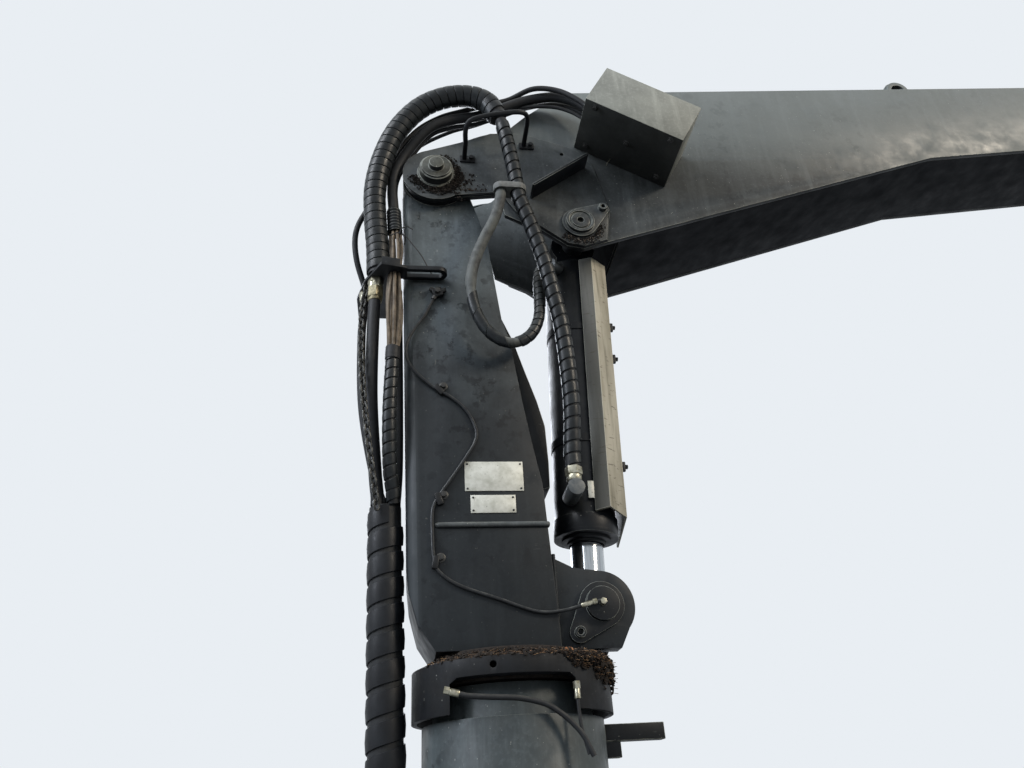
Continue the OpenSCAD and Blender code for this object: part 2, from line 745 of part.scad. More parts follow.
module lift_barrel() {
    color("#2d3133") difference() {
        union() {
            from_upper() translate([0, 0, 60]) cylinder(d = barrel_d, h = barrel_l - 60, $fn = 96);
            from_upper() translate([0, 0, barrel_l - 46]) cylinder(d = barrel_d + 8, h = 46, $fn = 96);
            from_upper() rotate([90, 0, 0]) cylinder(r = 64, h = eye_w, center = true);
            from_upper() translate([-50, -eye_w / 2, 0]) cube([100, eye_w, 80]);
        }
        bar_at(UPPER, cyl_pin_d + 2 * fit_gap, -barrel_d, barrel_d);
        from_upper() translate([0, 0, cap_l]) cylinder(d = bore_d, h = barrel_l - gland_l - cap_l, $fn = 96);
        from_upper() translate([0, 0, cap_l]) cylinder(d = rod_d + 2 * fit_gap, h = barrel_l, $fn = 96);
    }
}

// Folded guard along the barrel, cut at a slant at its lower end
module barrel_guard() {
    color("#8c877a") from_upper() intersection() {
        translate([0, 0, 66]) linear_extrude(barrel_l - 60) polygon([
            [-8, -83], [-42, -98], [-90, -62], [-90, 40], [-85, 40], [-85, -60], [-42, -92], [-10, -78]]);
        translate([0, 0, 0]) rotate([0, -90, 0]) linear_extrude(100) polygon([
            [60, -100], [barrel_l - 54, -100], [barrel_l - 40, -62], [barrel_l + 4, 42], [60, 42]]);
    }
}

// Elbow at the rod end and stub at the head end, where the two hoses meet the barrel
module port_elbow() {
    color("#2a2c2d") {
        difference() {
            union() {
                translate([160, -60, 852]) rotate([90, 0, 0]) cylinder(d = 40, h = 80);
                translate([160, -122, 852]) cylinder(d = 30, h = 54);
                translate([196, -50, 1548]) rotate([90, 0, -46]) cylinder(d = 34, h = 48);
            }
            from_upper() cylinder(d = barrel_d + 2 * seat, h = barrel_l, $fn = 96);
        }
    }
}

module lift_rod() {
    color("#c9cdd0") {
        difference() {
            union() {
                from_lower() translate([0, 0, 30])
                    cylinder(d = rod_d, h = pin_span - cap_l - head_room - 31, $fn = 96);
                from_lower() rotate([90, 0, 0]) cylinder(r = 55, h = eye_w, center = true);
                from_lower() translate([0, 0, pin_span - cap_l - piston_l - head_room])
                    cylinder(d = bore_d - 2 * fit_gap, h = piston_l, $fn = 96);
            }
            bar_at(LOWER, cyl_pin_d, -eye_w, eye_w);
        }
    }
}

module lower_pin() {
    color("#8d9194") bar_at(LOWER, cyl_pin_d, -eye_w / 2, eye_w / 2);
}

// Band that holds the two cylinder hoses together beside the root doubler
module hose_clamp() {
    feed_at = [59, -212];
    loop_at = [13, -216];
    wall = 5;
    band_h = 20;
    feed_r = feed_d / 2 + 1.2 + wall;
    loop_r = loop_d / 2 + 1.2 + wall;
    color("#3c3f40") translate([0, 0, clamp_z]) difference() {
        linear_extrude(band_h) union() {
            translate(feed_at) circle(feed_r);
            translate(loop_at) circle(loop_r);
            polygon([
                feed_at + [0, feed_r - 0.4], feed_at - [0, feed_r - 0.4],
                loop_at - [0, loop_r - 0.4], loop_at + [0, loop_r - 0.4]]);
        }
        translate([feed_at[0], feed_at[1], -1]) cylinder(r = feed_d / 2 + 1.2, h = band_h + 2);
        translate([loop_at[0], loop_at[1], -1]) cylinder(r = loop_d / 2 + 1.2, h = band_h + 2);
    }
}

module arc_hose() { color("#1a1c1e") hose(arc_route, arc_d, 3, 10); }
module feed_hose() { color("#1a1c1e") hose(feed_route, feed_d, 3); }
module loop_hose() { color("#4a4a46") hose(loop_route, loop_d, 3); }

base_housing();
slew_cylinders_near();
slew_cylinders_far();
base_collar();
hose_manifold();
stop_bar();
pillar_column();
pillar_head();
pillar_foot();
pillar_rib();
pillar_lugs();
lower_pin_keepers();
hose_bracket();
bracket_fittings();
pillar_hoses();
hose_guard();
hose_chain();
nameplates();
lube_line();
boom_web_near();
boom_web_far();
boom_top_flange();
boom_bottom_flange();
boom_diaphragm();
boom_tip();
jib_cylinder_lugs();
root_doubler_near();
root_doubler_far();
boom_pivot_pin();
upper_pin();
hose_guide();
hose_clamp();
hose_cover();
cover_bracket();
boom_hoses();
lift_barrel();
barrel_guard();
port_elbow();
lift_rod();
lower_pin();
arc_hose();
feed_hose();
loop_hose();
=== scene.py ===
# %% [markdown]
# Loader crane of a forestry forwarder, seen from below.
# The real crane is a slewing base with a dust collar, a folded steel pillar, a lift cylinder and a
# box-section boom, with hydraulic hoses in spiral guards along the near side. The measured frame comes
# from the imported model. Here each plate gets its rounded edges and worn enamel, each hose its real guard,
# and the welds, bolts, fittings and forest litter are added.

# %% Set-up
import bisect
import json
import math
import random

import bmesh
import bpy
from mathutils import Matrix, Vector

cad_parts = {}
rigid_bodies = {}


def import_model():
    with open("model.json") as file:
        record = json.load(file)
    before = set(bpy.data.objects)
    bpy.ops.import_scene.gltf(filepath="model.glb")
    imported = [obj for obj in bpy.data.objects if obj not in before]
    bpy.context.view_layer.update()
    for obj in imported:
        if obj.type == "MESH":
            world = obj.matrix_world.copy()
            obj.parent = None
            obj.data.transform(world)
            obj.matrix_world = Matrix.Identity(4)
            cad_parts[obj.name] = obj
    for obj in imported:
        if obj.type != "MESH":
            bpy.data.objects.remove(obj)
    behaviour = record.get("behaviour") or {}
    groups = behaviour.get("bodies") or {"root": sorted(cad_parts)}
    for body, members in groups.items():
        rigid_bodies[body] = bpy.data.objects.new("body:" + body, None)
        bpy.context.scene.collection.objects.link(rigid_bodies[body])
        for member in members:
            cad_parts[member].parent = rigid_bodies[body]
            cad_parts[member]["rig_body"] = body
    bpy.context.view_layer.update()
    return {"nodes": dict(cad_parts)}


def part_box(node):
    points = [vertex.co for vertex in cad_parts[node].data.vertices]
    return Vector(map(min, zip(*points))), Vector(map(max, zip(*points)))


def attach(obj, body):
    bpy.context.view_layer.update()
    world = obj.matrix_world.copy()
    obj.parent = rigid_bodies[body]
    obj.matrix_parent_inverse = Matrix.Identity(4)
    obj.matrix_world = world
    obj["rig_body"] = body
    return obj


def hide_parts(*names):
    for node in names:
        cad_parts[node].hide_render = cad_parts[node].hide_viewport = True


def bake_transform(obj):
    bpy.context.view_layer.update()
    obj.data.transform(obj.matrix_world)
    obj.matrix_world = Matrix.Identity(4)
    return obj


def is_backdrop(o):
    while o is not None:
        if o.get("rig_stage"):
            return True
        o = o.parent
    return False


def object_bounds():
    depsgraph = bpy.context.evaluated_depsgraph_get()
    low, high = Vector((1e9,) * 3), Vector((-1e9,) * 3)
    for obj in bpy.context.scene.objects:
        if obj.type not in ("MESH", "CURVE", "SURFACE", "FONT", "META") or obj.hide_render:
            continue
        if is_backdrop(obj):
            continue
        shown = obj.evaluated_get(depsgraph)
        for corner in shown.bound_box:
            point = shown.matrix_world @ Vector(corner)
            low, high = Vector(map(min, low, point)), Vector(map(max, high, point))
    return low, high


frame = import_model()
MM = 0.001

# %% [markdown]
# The photograph was taken standing beside the machine and looking up, with a phone's wide lens. The
# camera stands low beside the base, turned a little to the right, tilted up and rolled a few degrees.

# %% Camera
CAMERA_PLACE = (-0.2238, -1.7865, 0.1886)
CAMERA_HEADING = 8.5
CAMERA_PITCH = 29.3
CAMERA_ROLL = 3.5
LENS_MM = 27.07


def turned(axis, degrees):
    """4x4 rotation about one axis."""
    return Matrix.Rotation(math.radians(degrees), 4, axis)


lens = bpy.data.cameras.new("camera")
lens.lens = LENS_MM
camera = bpy.data.objects.new("camera", lens)
bpy.context.scene.collection.objects.link(camera)
camera.matrix_world = (
    Matrix.Translation(CAMERA_PLACE)
    @ turned("Z", -CAMERA_HEADING)
    @ turned("X", 90 + CAMERA_PITCH)
    @ turned("Z", -CAMERA_ROLL)
)
bpy.context.scene.camera = camera
print("camera", round(camera.location.z, 2), "m above the mount, looking up by", CAMERA_PITCH, "degrees")

# %% [markdown]
# Colours are written as the sRGB hex values that a painter would read off a chart, and one function turns
# them to the linear values that the shader works in. A second one adds a node with its settings and links.
# Paint, dust and wear lie over one another in coats, so a finish is mixed that way: each coat is a colour
# and the masks that say where it holds.

# %% Colour and node helpers
FINISHES = {}
# A Mix node has inputs and outputs for numbers, vectors and colours, and these are the ones for colours
MIX_BELOW, MIX_ABOVE, MIXED = 6, 7, 2
# How far a ragged limit wanders, in metres
RAGGED_BY = 0.22


def paint(code):
    """Linear colour from an sRGB hex code."""
    parts = [int(code[i:i + 2], 16) / 255 for i in (1, 3, 5)]
    return (*[p / 12.92 if p <= 0.04045 else ((p + 0.055) / 1.055) ** 2.4 for p in parts], 1)


def add(tree, kind, settings=None, inputs=None):
    """Adds a node, sets its properties, and fills or links its inputs."""
    node = tree.nodes.new("ShaderNode" + kind)
    for name, value in (settings or {}).items():
        setattr(node, name, value)
    for name, value in (inputs or {}).items():
        socket = node.inputs[name]
        if isinstance(value, bpy.types.NodeSocket):
            tree.links.new(value, socket)
        else:
            socket.default_value = value
    return node


class Finish:
    """Material being mixed: its nodes and shader, the piece's own coordinates, and its colour so far."""

    def __init__(self, name, ground):
        FINISHES[name] = bpy.data.materials.new(name)
        FINISHES[name].use_nodes = True
        self.tree = FINISHES[name].node_tree
        self.tree.nodes.clear()
        self.shader = add(self.tree, "BsdfPrincipled")
        add(self.tree, "OutputMaterial", inputs={"Surface": self.shader.outputs["BSDF"]})
        self.place = add(self.tree, "TexCoord").outputs["Object"]
        self.facing = add(self.tree, "NewGeometry").outputs
        self.colour = ground

    def spots(self, size_mm, low, high, detail=4.0, stretch=(1, 1, 1)):
        """Soft mask whose spots are about size_mm across, longer where stretch is small."""
        mapped = add(self.tree, "Mapping", inputs={"Vector": self.place, "Scale": stretch})
        cloud = add(self.tree, "TexNoise", inputs={
            "Vector": mapped.outputs["Vector"], "Scale": 1000 / size_mm, "Detail": detail,
            "Roughness": 0.6})
        return add(self.tree, "MapRange", {"clamp": True}, {
            "Value": cloud.outputs["Fac"], "From Min": low, "From Max": high}).outputs["Result"]

    def along(self, vector, axis, low, high, ragged=0):
        """Mask from 0 where one axis of a direction or place is at low, to 1 at high, maybe ragged."""
        value = add(self.tree, "SeparateXYZ", inputs={"Vector": vector}).outputs[axis]
        value = add(self.tree, "Math", {"operation": "MULTIPLY_ADD"}, {0: ragged, 1: RAGGED_BY, 2: value})
        return add(self.tree, "MapRange", {"clamp": True}, {
            "Value": value.outputs[0], "From Min": low, "From Max": high}).outputs["Result"]

    def coat(self, above, *masks):
        """Lays a colour over those below, as far as all its masks together let it."""
        mask = masks[0]
        for other in masks[1:]:
            both = add(self.tree, "Math", {"operation": "MULTIPLY", "use_clamp": True}, {
                0: mask, 1: other})
            mask = both.outputs[0]
        above = paint(above) if isinstance(above, str) else above
        mixed = add(self.tree, "Mix", {"data_type": "RGBA"}, {
            0: mask, MIX_BELOW: self.colour, MIX_ABOVE: above})
        self.colour = mixed.outputs[MIXED]

    def done(self, rough, spread=None, gleam=0.5, metallic=0.0, grain=None):
        """Gives the shader its colour, its roughness, varied in spots, its gloss and its grain."""
        socket = self.shader.inputs
        self.tree.links.new(self.colour, socket["Base Color"])
        socket["Roughness"].default_value = rough
        if spread:
            less, more, spot_mm = spread
            varied = add(self.tree, "MapRange", inputs={
                "Value": self.spots(spot_mm, 0.3, 0.7), "To Min": rough - less, "To Max": rough + more})
            self.tree.links.new(varied.outputs["Result"], socket["Roughness"])
        socket["Specular IOR Level"].default_value = gleam
        socket["Metallic"].default_value = metallic
        if grain:
            size_mm, height_mm, strength = grain
            cloud = add(self.tree, "TexNoise", inputs={
                "Vector": self.place, "Scale": 1000 / size_mm, "Detail": 3.0})
            bump = add(self.tree, "Bump", inputs={
                "Height": cloud.outputs["Fac"], "Distance": height_mm * MM, "Strength": strength})
            self.tree.links.new(bump.outputs["Normal"], socket["Normal"])


# %% [markdown]
# The crane is sprayed in a charcoal satin enamel over blasted plate. After some seasons it is dusty where
# it faces up, streaked where rain runs, scuffed where branches rub, and paler on every edge. All of that
# is one recipe with a few strengths, so that the plates differ as they do on the machine.

# %% Charcoal enamel


def charcoal_enamel(
        name, body, dustiness, scuffs, dust="#6d6f6a", grease=0.0, roughness=0.42, stain=0.6,
        lower_shade=0.0, upper_sheen=0.0, bend_highlight=0.0):
    """Satin enamel on plate: its own colour, rain film, dust, scuffs, grease, rubbed edges and painted
    shade and sheen.
    """
    body = paint(body)
    paler = (*[min(1, c * 1.5 + 0.006) for c in body[:3]], 1)
    enamel = Finish(name, (*[c * 0.62 for c in body[:3]], 1))
    normal = enamel.facing["Normal"]
    # Spray and weather vary it over a hand's breadth
    enamel.coat(body, enamel.spots(230, 0.36, 0.6))
    # Rain film runs down in streaks about 25 mm wide, over fine grime
    enamel.coat(paler, enamel.spots(26, 0.5, 0.74, stretch=(1, 1, 0.12)), 0.55)
    enamel.coat(paler, enamel.spots(9, 0.5, 0.68, detail=8), 0.3)
    # Resin and soot leave black stains with ragged edges, a few centimetres across
    enamel.coat("#14171a", enamel.spots(34, 0.53, 0.6, detail=9), enamel.spots(210, 0.44, 0.62), stain)
    # Dust settles on faces that look up
    enamel.coat(dust, enamel.along(normal, "Z", 0.1, 0.9), enamel.spots(38, 0.3, 0.62), dustiness)
    # Short pale scuffs from branches, 3 mm by about 30 mm, some lying and some upright
    lying = enamel.spots(5, 0.66, 0.7, stretch=(0.16, 1, 1))
    enamel.coat("#868a88", lying, enamel.spots(90, 0.55, 0.62), scuffs)
    upright = enamel.spots(6, 0.67, 0.71, stretch=(1, 1, 0.2))
    enamel.coat("#7d807c", upright, enamel.spots(70, 0.56, 0.64), scuffs)
    # Small chips down to the primer, 3 mm across
    enamel.coat("#b7b7ae", enamel.spots(7, 0.73, 0.745, detail=2), scuffs)
    # Grease holds black dirt in patches
    if grease:
        enamel.coat("#151413", enamel.spots(55, 0.42, 0.62, detail=6), grease)
    # Rounded edges carry a face attribute, and their enamel is rubbed thin and pale; the pale coat also
    # stands for a painted highlight along the edges
    worn = add(enamel.tree, "Attribute", {"attribute_name": "worn"}).outputs["Fac"]
    enamel.coat("#8f928b", worn, enamel.spots(30, 0.34, 0.56), 0.8)
    # The bend on the left of the near side gets a pale painted highlight, the sky's reflection along it
    if bend_highlight:
        turned_left, turned_near = [enamel.along(normal, axis, -0.18, -0.6) for axis in "XY"]
        enamel.coat("#8b9497", turned_left, turned_near, enamel.spots(120, 0.2, 0.5), bend_highlight)
    # A painted sky sheen makes what stands higher than the pivot paler
    if upper_sheen:
        enamel.coat("#8a918f", enamel.along(enamel.place, "Z", 1.84, 2.04), upper_sheen)
    # Painted shade darkens the lower part, from 1.5 m down to 1.1 m
    if lower_shade:
        ragged = enamel.spots(160, 0.3, 0.7)
        enamel.coat("#0b0e12", enamel.along(enamel.place, "Z", 1.56, 1.2, ragged), lower_shade)
    # Painted shade: undersides are darkened nearly to black
    enamel.coat("#07090d", enamel.along(normal, "Z", -0.3, -0.8), 0.9)
    # Enamel's IOR is 1.5, but a dusty one gives back less of the sky than a clean one
    enamel.shader.inputs["IOR"].default_value = 1.5
    enamel.done(roughness, (0.08, 0.2, 60), gleam=0.22, grain=(1.6, 0.05, 0.5))


charcoal_enamel("pillar_enamel", "#4f5659", dustiness=0.75, scuffs=0.8, stain=0.8, lower_shade=0.84, bend_highlight=0.6)
charcoal_enamel("boom_enamel", "#484c4d", dustiness=0.75, scuffs=0.5, upper_sheen=0.4)
charcoal_enamel("root_enamel", "#4d5152", dustiness=0.8, scuffs=0.8, grease=0.3, upper_sheen=0.3)
charcoal_enamel("base_enamel", "#444b4d", dustiness=0.6, scuffs=0.5)
# The collar's near-black is partly its own greasy paint and partly painted shade, low under the pillar
charcoal_enamel(
    "collar_enamel", "#111316", dust="#3d342c", dustiness=0.9, scuffs=0.6, grease=0.5, roughness=0.55)
charcoal_enamel("dark_enamel", "#101316", dustiness=0.45, scuffs=0.3)
# Painted shade for the boom's underside and the diaphragm inside it: near-black matt enamel
charcoal_enamel("underside_shade_enamel", "#090b0e", dustiness=0.2, scuffs=0.15, roughness=0.78)
charcoal_enamel("cover_enamel", "#8d8f88", dust="#9c9e96", dustiness=0.9, scuffs=0.5, stain=0.15)
charcoal_enamel("barrel_enamel", "#0a0e13", dustiness=0.3, scuffs=0.3, roughness=0.36)
charcoal_enamel("pin_enamel", "#55564f", dust="#7b766a", dustiness=0.9, scuffs=0.9, grease=0.6)
print(len(FINISHES), "enamels mixed")

# %% [markdown]
# Hoses are black rubber with a woven print, dulled by dust. Their guards are strips of moulded
# polyethylene wound on by hand, glossier where they rub, with dust in the joints. The fittings are zinc
# plated steel that has yellowed. Mud, bark and needles are as matt as wood.

# %% Rubber, plastic, bare metal and dirt
# Name, shade, second shade and the size of its spots in mm, roughness, metallic, dust and how much of it
PLAIN_FINISHES = (
    ("hose_rubber", "#1a1b1d", "#26282a", 12, 0.55, 0.0, "#55544e", 0.5),
    ("grey_rubber", "#5a5d5b", "#3a3b3c", 26, 0.6, 0.0, "#83837c", 0.7),
    ("guard_plastic", "#16191b", "#25292b", 22, 0.34, 0.0, "#6b6c66", 0.6),
    ("wide_guard_plastic", "#0b0d11", "#14171b", 40, 0.42, 0.0, "#3a3d3f", 0.25),
    ("lube_plastic", "#232527", "#151618", 14, 0.36, 0.0, "#6f706b", 0.5),
    ("tie_nylon", "#101112", "#1b1c1d", 8, 0.4, 0.0, None, 0.0),
    ("clamp_plastic", "#6c6d6b", "#565857", 14, 0.55, 0.0, "#8a8a84", 0.5),
    ("zinc_steel", "#a8a595", "#77735f", 9, 0.34, 0.9, "#6a665a", 0.4),
    ("chain_steel", "#4c4c49", "#262524", 6, 0.42, 0.8, None, 0.0),
    ("elbow_steel", "#4a4e50", "#5e605f", 12, 0.42, 0.4, "#7a7b78", 0.6),
    ("cable_tan", "#75695a", "#4b4339", 20, 0.6, 0.0, "#8d8374", 0.4),
    ("wire_steel", "#1d1d1e", "#35322f", 6, 0.5, 0.4, None, 0.0),
    ("bolt_steel", "#343433", "#1f1f1e", 5, 0.45, 0.5, "#5f5b52", 0.5),
    ("bare_steel", "#3c3e40", "#2a2b2c", 20, 0.4, 0.8, None, 0.0),
    ("yellow_zinc", "#78715a", "#59553f", 8, 0.42, 0.6, "#716d60", 0.5),
    ("litter_brown", "#241d19", "#4b3d32", 4, 0.9, 0.0, "#5f4e3f", 0.4),
    ("needle_brown", "#4d3828", "#8c7153", 9, 0.85, 0.0, None, 0.0),
    ("dark_mud", "#171412", "#2c2621", 9, 0.85, 0.0, "#4a4037", 0.4),
    ("bark_red", "#8d5a3c", "#b58a66", 8, 0.8, 0.0, None, 0.0),
    ("pale_crumb", "#a3998d", "#6b5d52", 4, 0.8, 0.0, None, 0.0),
)
for name, shade, second, spot_mm, roughness, metallic, dust, dustiness in PLAIN_FINISHES:
    finish = Finish(name, paint(shade))
    finish.coat(second, finish.spots(spot_mm, 0.42, 0.66, detail=5))
    if dust:
        settled = finish.along(finish.facing["Normal"], "Z", -0.1, 0.9)
        finish.coat(dust, settled, finish.spots(16, 0.34, 0.62), dustiness)
    # Dust and dried oil dull the plastic and the rubber, but not the metals. Mud has the coarsest grain.
    gleam = 0.5 if metallic else 0.25
    grain_mm = 2.5 if name == "dark_mud" else 1.0
    finish.done(roughness, (0.06, 0.14, 12), gleam, metallic, grain=(grain_mm, 0.04, 0.5))
print(len(PLAIN_FINISHES), "plain finishes mixed")

# %% [markdown]
# Hard chrome on the rod is a mirror with a thin film of oil. The plates are anodised aluminium that the
# weather has dulled to a warm white. The barrel's guard is a folded sheet, once pale, rubbed and streaked.

# %% Chrome, plate and worn guard
# Plated rod: bright and smooth, with faint marks along its stroke
chrome = Finish("hard_chrome", paint("#a9adb0"))
chrome.coat("#7c8184", chrome.spots(5, 0.5, 0.8, stretch=(1, 1, 0.05)))
chrome.done(0.16, metallic=1.0)

# Blank plates: dull faces with dust and small dark specks
plate = Finish("weathered_plate", paint("#c9c9c0"))
plate.coat("#adada2", plate.spots(26, 0.4, 0.66))
plate.coat("#5d5c54", plate.spots(5, 0.66, 0.7, detail=2), 0.7)
plate.done(0.5, metallic=0.35)

# Guard: brown streaks along it, and its face toward the left painted darker grey as shade
sheet = Finish("worn_sheet", paint("#b5b0a0"))
sheet.coat("#969180", sheet.spots(70, 0.4, 0.62, stretch=(1, 1, 0.3)))
sheet.coat("#6f6a59", sheet.spots(14, 0.5, 0.7, stretch=(1, 1, 0.08)), 0.7)
sheet.coat("#4b4d4b", sheet.along(sheet.facing["True Normal"], "X", 0.1, -0.2), 0.85)
# Dark scratches across it, and edges rubbed pale
sheet.coat("#4f4b40", sheet.spots(7, 0.62, 0.66, stretch=(0.25, 0.25, 1)), 0.7)
sheet.coat("#d3d1c2", add(sheet.tree, "Attribute", {"attribute_name": "worn"}).outputs["Fac"], 0.6)
sheet.done(0.55, grain=(3, 0.08, 0.6))
print("and so", len(FINISHES), "finishes in all")

# %% [markdown]
# Sharp CAD edges look like card. A real plate has its cut edges ground and then painted, so each plate
# gets a merged copy whose edges are bevelled by a millimetre or two. The bevel's faces keep an attribute
# called worn, from which the enamel knows where to look rubbed.

# %% Soft-edged copies of the plates


def place_mesh(name, bm, finish, body=None):
    """Object at the origin from a bmesh, riding a body if one is named."""
    mesh = bpy.data.meshes.new(name)
    bm.to_mesh(mesh)
    bm.free()
    mesh.materials.append(FINISHES[finish])
    piece = bpy.data.objects.new(name, mesh)
    bpy.context.scene.collection.objects.link(piece)
    if body:
        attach(piece, body)
    return piece


def crease(bm, degrees=32):
    """Shades smooth, apart from edges sharper than that."""
    for face in bm.faces:
        face.smooth = True
    for edge in bm.edges:
        edge.smooth = len(edge.link_faces) == 2 and edge.calc_face_angle() < math.radians(degrees)


def rounded(bm, edges, offset_mm, profile=0.5):
    """Rounds edges off in two steps, and gives the faces that this makes."""
    return bmesh.ops.bevel(
        bm, geom=edges, offset=offset_mm * MM, offset_type="OFFSET", segments=2, profile=profile,
        affect="EDGES", clamp_overlap=True, material=-1)["faces"]


def soften(node, finish, edge_mm):
    """Stands for a CAD node: a merged copy with rounded edges."""
    cad = frame["nodes"][node]
    bm = bmesh.new()
    bm.from_mesh(cad.data)
    bmesh.ops.remove_doubles(bm, verts=bm.verts, dist=0.02 * MM)
    bmesh.ops.dissolve_limit(bm, angle_limit=math.radians(0.8), verts=bm.verts, edges=bm.edges)
    worn = bm.faces.layers.float.new("worn")
    if edge_mm:
        sharp = [
            e for e in bm.edges if len(e.link_faces) == 2 and e.calc_face_angle() > math.radians(28)]
        for face in rounded(bm, sharp, edge_mm):
            face[worn] = 1.0
    crease(bm, 32 if edge_mm else 70)
    piece = place_mesh("soft_" + node, bm, finish, cad["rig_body"])
    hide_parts(node)


PLATES = {
    "base_housing": ("base_enamel", 2.0),
    "slew_cylinders_near": ("base_enamel", 1.5),
    "slew_cylinders_far": ("base_enamel", 1.5),
    "base_collar": ("collar_enamel", 2.5),
    "hose_manifold": ("base_enamel", 2.5),
    "stop_bar": ("dark_enamel", 1.5),
    "pillar_column": ("pillar_enamel", 2.0),
    "pillar_head": ("dark_enamel", 2.0),
    "pillar_foot": ("dark_mud", 3.0),
    "pillar_rib": ("dark_enamel", 1.5),
    "pillar_lugs": ("pillar_enamel", 2.5),
    "lower_pin_keepers": ("dark_enamel", 1.8),
    "hose_bracket": ("dark_enamel", 1.5),
    "boom_web_near": ("boom_enamel", 1.5),
    "boom_web_far": ("boom_enamel", 1.5),
    "boom_top_flange": ("boom_enamel", 1.5),
    "boom_bottom_flange": ("underside_shade_enamel", 1.5),
    "boom_diaphragm": ("underside_shade_enamel", 1.0),
    "boom_tip": ("boom_enamel", 2.0),
    "root_doubler_near": ("root_enamel", 2.0),
    "root_doubler_far": ("root_enamel", 2.0),
    "boom_pivot_pin": ("pin_enamel", 2.5),
    "upper_pin": ("root_enamel", 1.8),
    "cover_bracket": ("dark_enamel", 1.2),
    "hose_cover": ("cover_enamel", 1.8),
    "lift_barrel": ("barrel_enamel", 2.0),
    "barrel_guard": ("worn_sheet", 1.0),
    "lift_rod": ("hard_chrome", 1.0),
    "lower_pin": ("bare_steel", 1.0),
    "nameplates": ("weathered_plate", 0.4),
    "bracket_fittings": ("zinc_steel", 0.8),
    "jib_cylinder_lugs": ("boom_enamel", 2.0),
    "hose_clamp": ("clamp_plastic", 1.2),
    "port_elbow": ("elbow_steel", 1.5),
    "hose_chain": ("chain_steel", 0),
}
for node, (finish, edge_mm) in PLATES.items():
    soften(node, finish, edge_mm)
print(len(PLATES), "plates softened")

# %% [markdown]
# Every hose and every weld bead here is one straight thing bent along a line. It is quicker and neater
# to model it straight up the Z axis, where spin and extrude are easy, and then to lay it along its route.
# The routes repeat the ones in the part's source: given points with a smooth curve between them.

# %% Routes


def between(a, b, c, d, t):
    """Point at t from b to c on the smooth curve through four points."""
    bend, twist = 2 * a - 5 * b + 4 * c - d, 3 * b - a - 3 * c + d
    return 0.5 * (2 * b + (c - a) * t + bend * t * t + twist * t ** 3)


class Route:
    """Smooth line through points in millimetres, with a frame carried along it without twist."""

    def __init__(self, points_mm, steps=8):
        given = [Vector(p) * MM for p in points_mm]
        last = len(given) - 1
        self.steps = steps
        dots = [given[0]]
        for i in range(1, last - 1):
            four = given[i - 1], given[i], given[i + 1], given[min(i + 2, last)]
            dots += [between(*four, j / steps) for j in range(steps)]
        dots += given[max(last - 1, 1):]
        self.dots = dots
        self.reach = [0.0]
        for a, b in zip(dots, dots[1:]):
            self.reach.append(self.reach[-1] + (b - a).length)
        self.length = self.reach[-1]
        side = Vector((0, 1, 0)) if abs((dots[1] - dots[0]).normalized().y) < 0.8 else Vector((1, 0, 0))
        self.frames = []
        for i in range(len(dots)):
            ahead = (dots[min(i + 1, len(dots) - 1)] - dots[max(i - 1, 0)]).normalized()
            side = (side - ahead * side.dot(ahead)).normalized()
            self.frames.append((side.copy(), ahead.cross(side), ahead))

    def at(self, s):
        """Place and frame at distance s along the route, straight on beyond its ends."""
        i = min(max(bisect.bisect_right(self.reach, s) - 1, 0), len(self.dots) - 2)
        step = self.reach[i + 1] - self.reach[i]
        t = (s - self.reach[i]) / step
        place = self.dots[i].lerp(self.dots[i + 1], t)
        t = min(max(t, 0), 1)
        return place, [a.lerp(b, t).normalized() for a, b in zip(self.frames[i], self.frames[i + 1])]

    def reach_of(self, point):
        """Distance along the route of one of the points that it was given."""
        return self.reach[1 + (point - 1) * self.steps]


def lay_along(bm, route, start=0.0, degrees=32):
    """Bends what was modelled up the Z axis, so that it lies along the route, and shades it smooth."""
    for vert in bm.verts:
        place, (side, up, _) = route.at(start + vert.co.z)
        vert.co = place + side * vert.co.x + up * vert.co.y
    crease(bm, degrees)
    return bm


def straight_tube(radius_mm, length, step, sides=16, radius_mm_at=None):
    """Closed tube up the Z axis, whose radius may change along it."""
    rings = max(2, int(length / step))
    bm = bmesh.new()
    bmesh.ops.create_circle(bm, cap_ends=True, segments=sides, radius=radius_mm * MM)
    rim = bm.edges[:]
    for _ in range(rings):
        grown = bmesh.ops.extrude_edge_only(bm, edges=rim)["geom"]
        verts = [g for g in grown if isinstance(g, bmesh.types.BMVert)]
        rim = [g for g in grown if isinstance(g, bmesh.types.BMEdge)]
        bmesh.ops.translate(bm, verts=verts, vec=(0, 0, length / rings))
    bmesh.ops.holes_fill(bm, edges=[e for e in bm.edges if e.is_boundary], sides=0)
    if radius_mm_at:
        for vert in bm.verts:
            flat = Vector((vert.co.x, vert.co.y, 0))
            if flat.length > 0:
                flat *= radius_mm_at(vert.co.z) * MM / flat.length
            vert.co = flat + Vector((0, 0, vert.co.z))
    bmesh.ops.recalc_face_normals(bm, faces=bm.faces)
    return bm


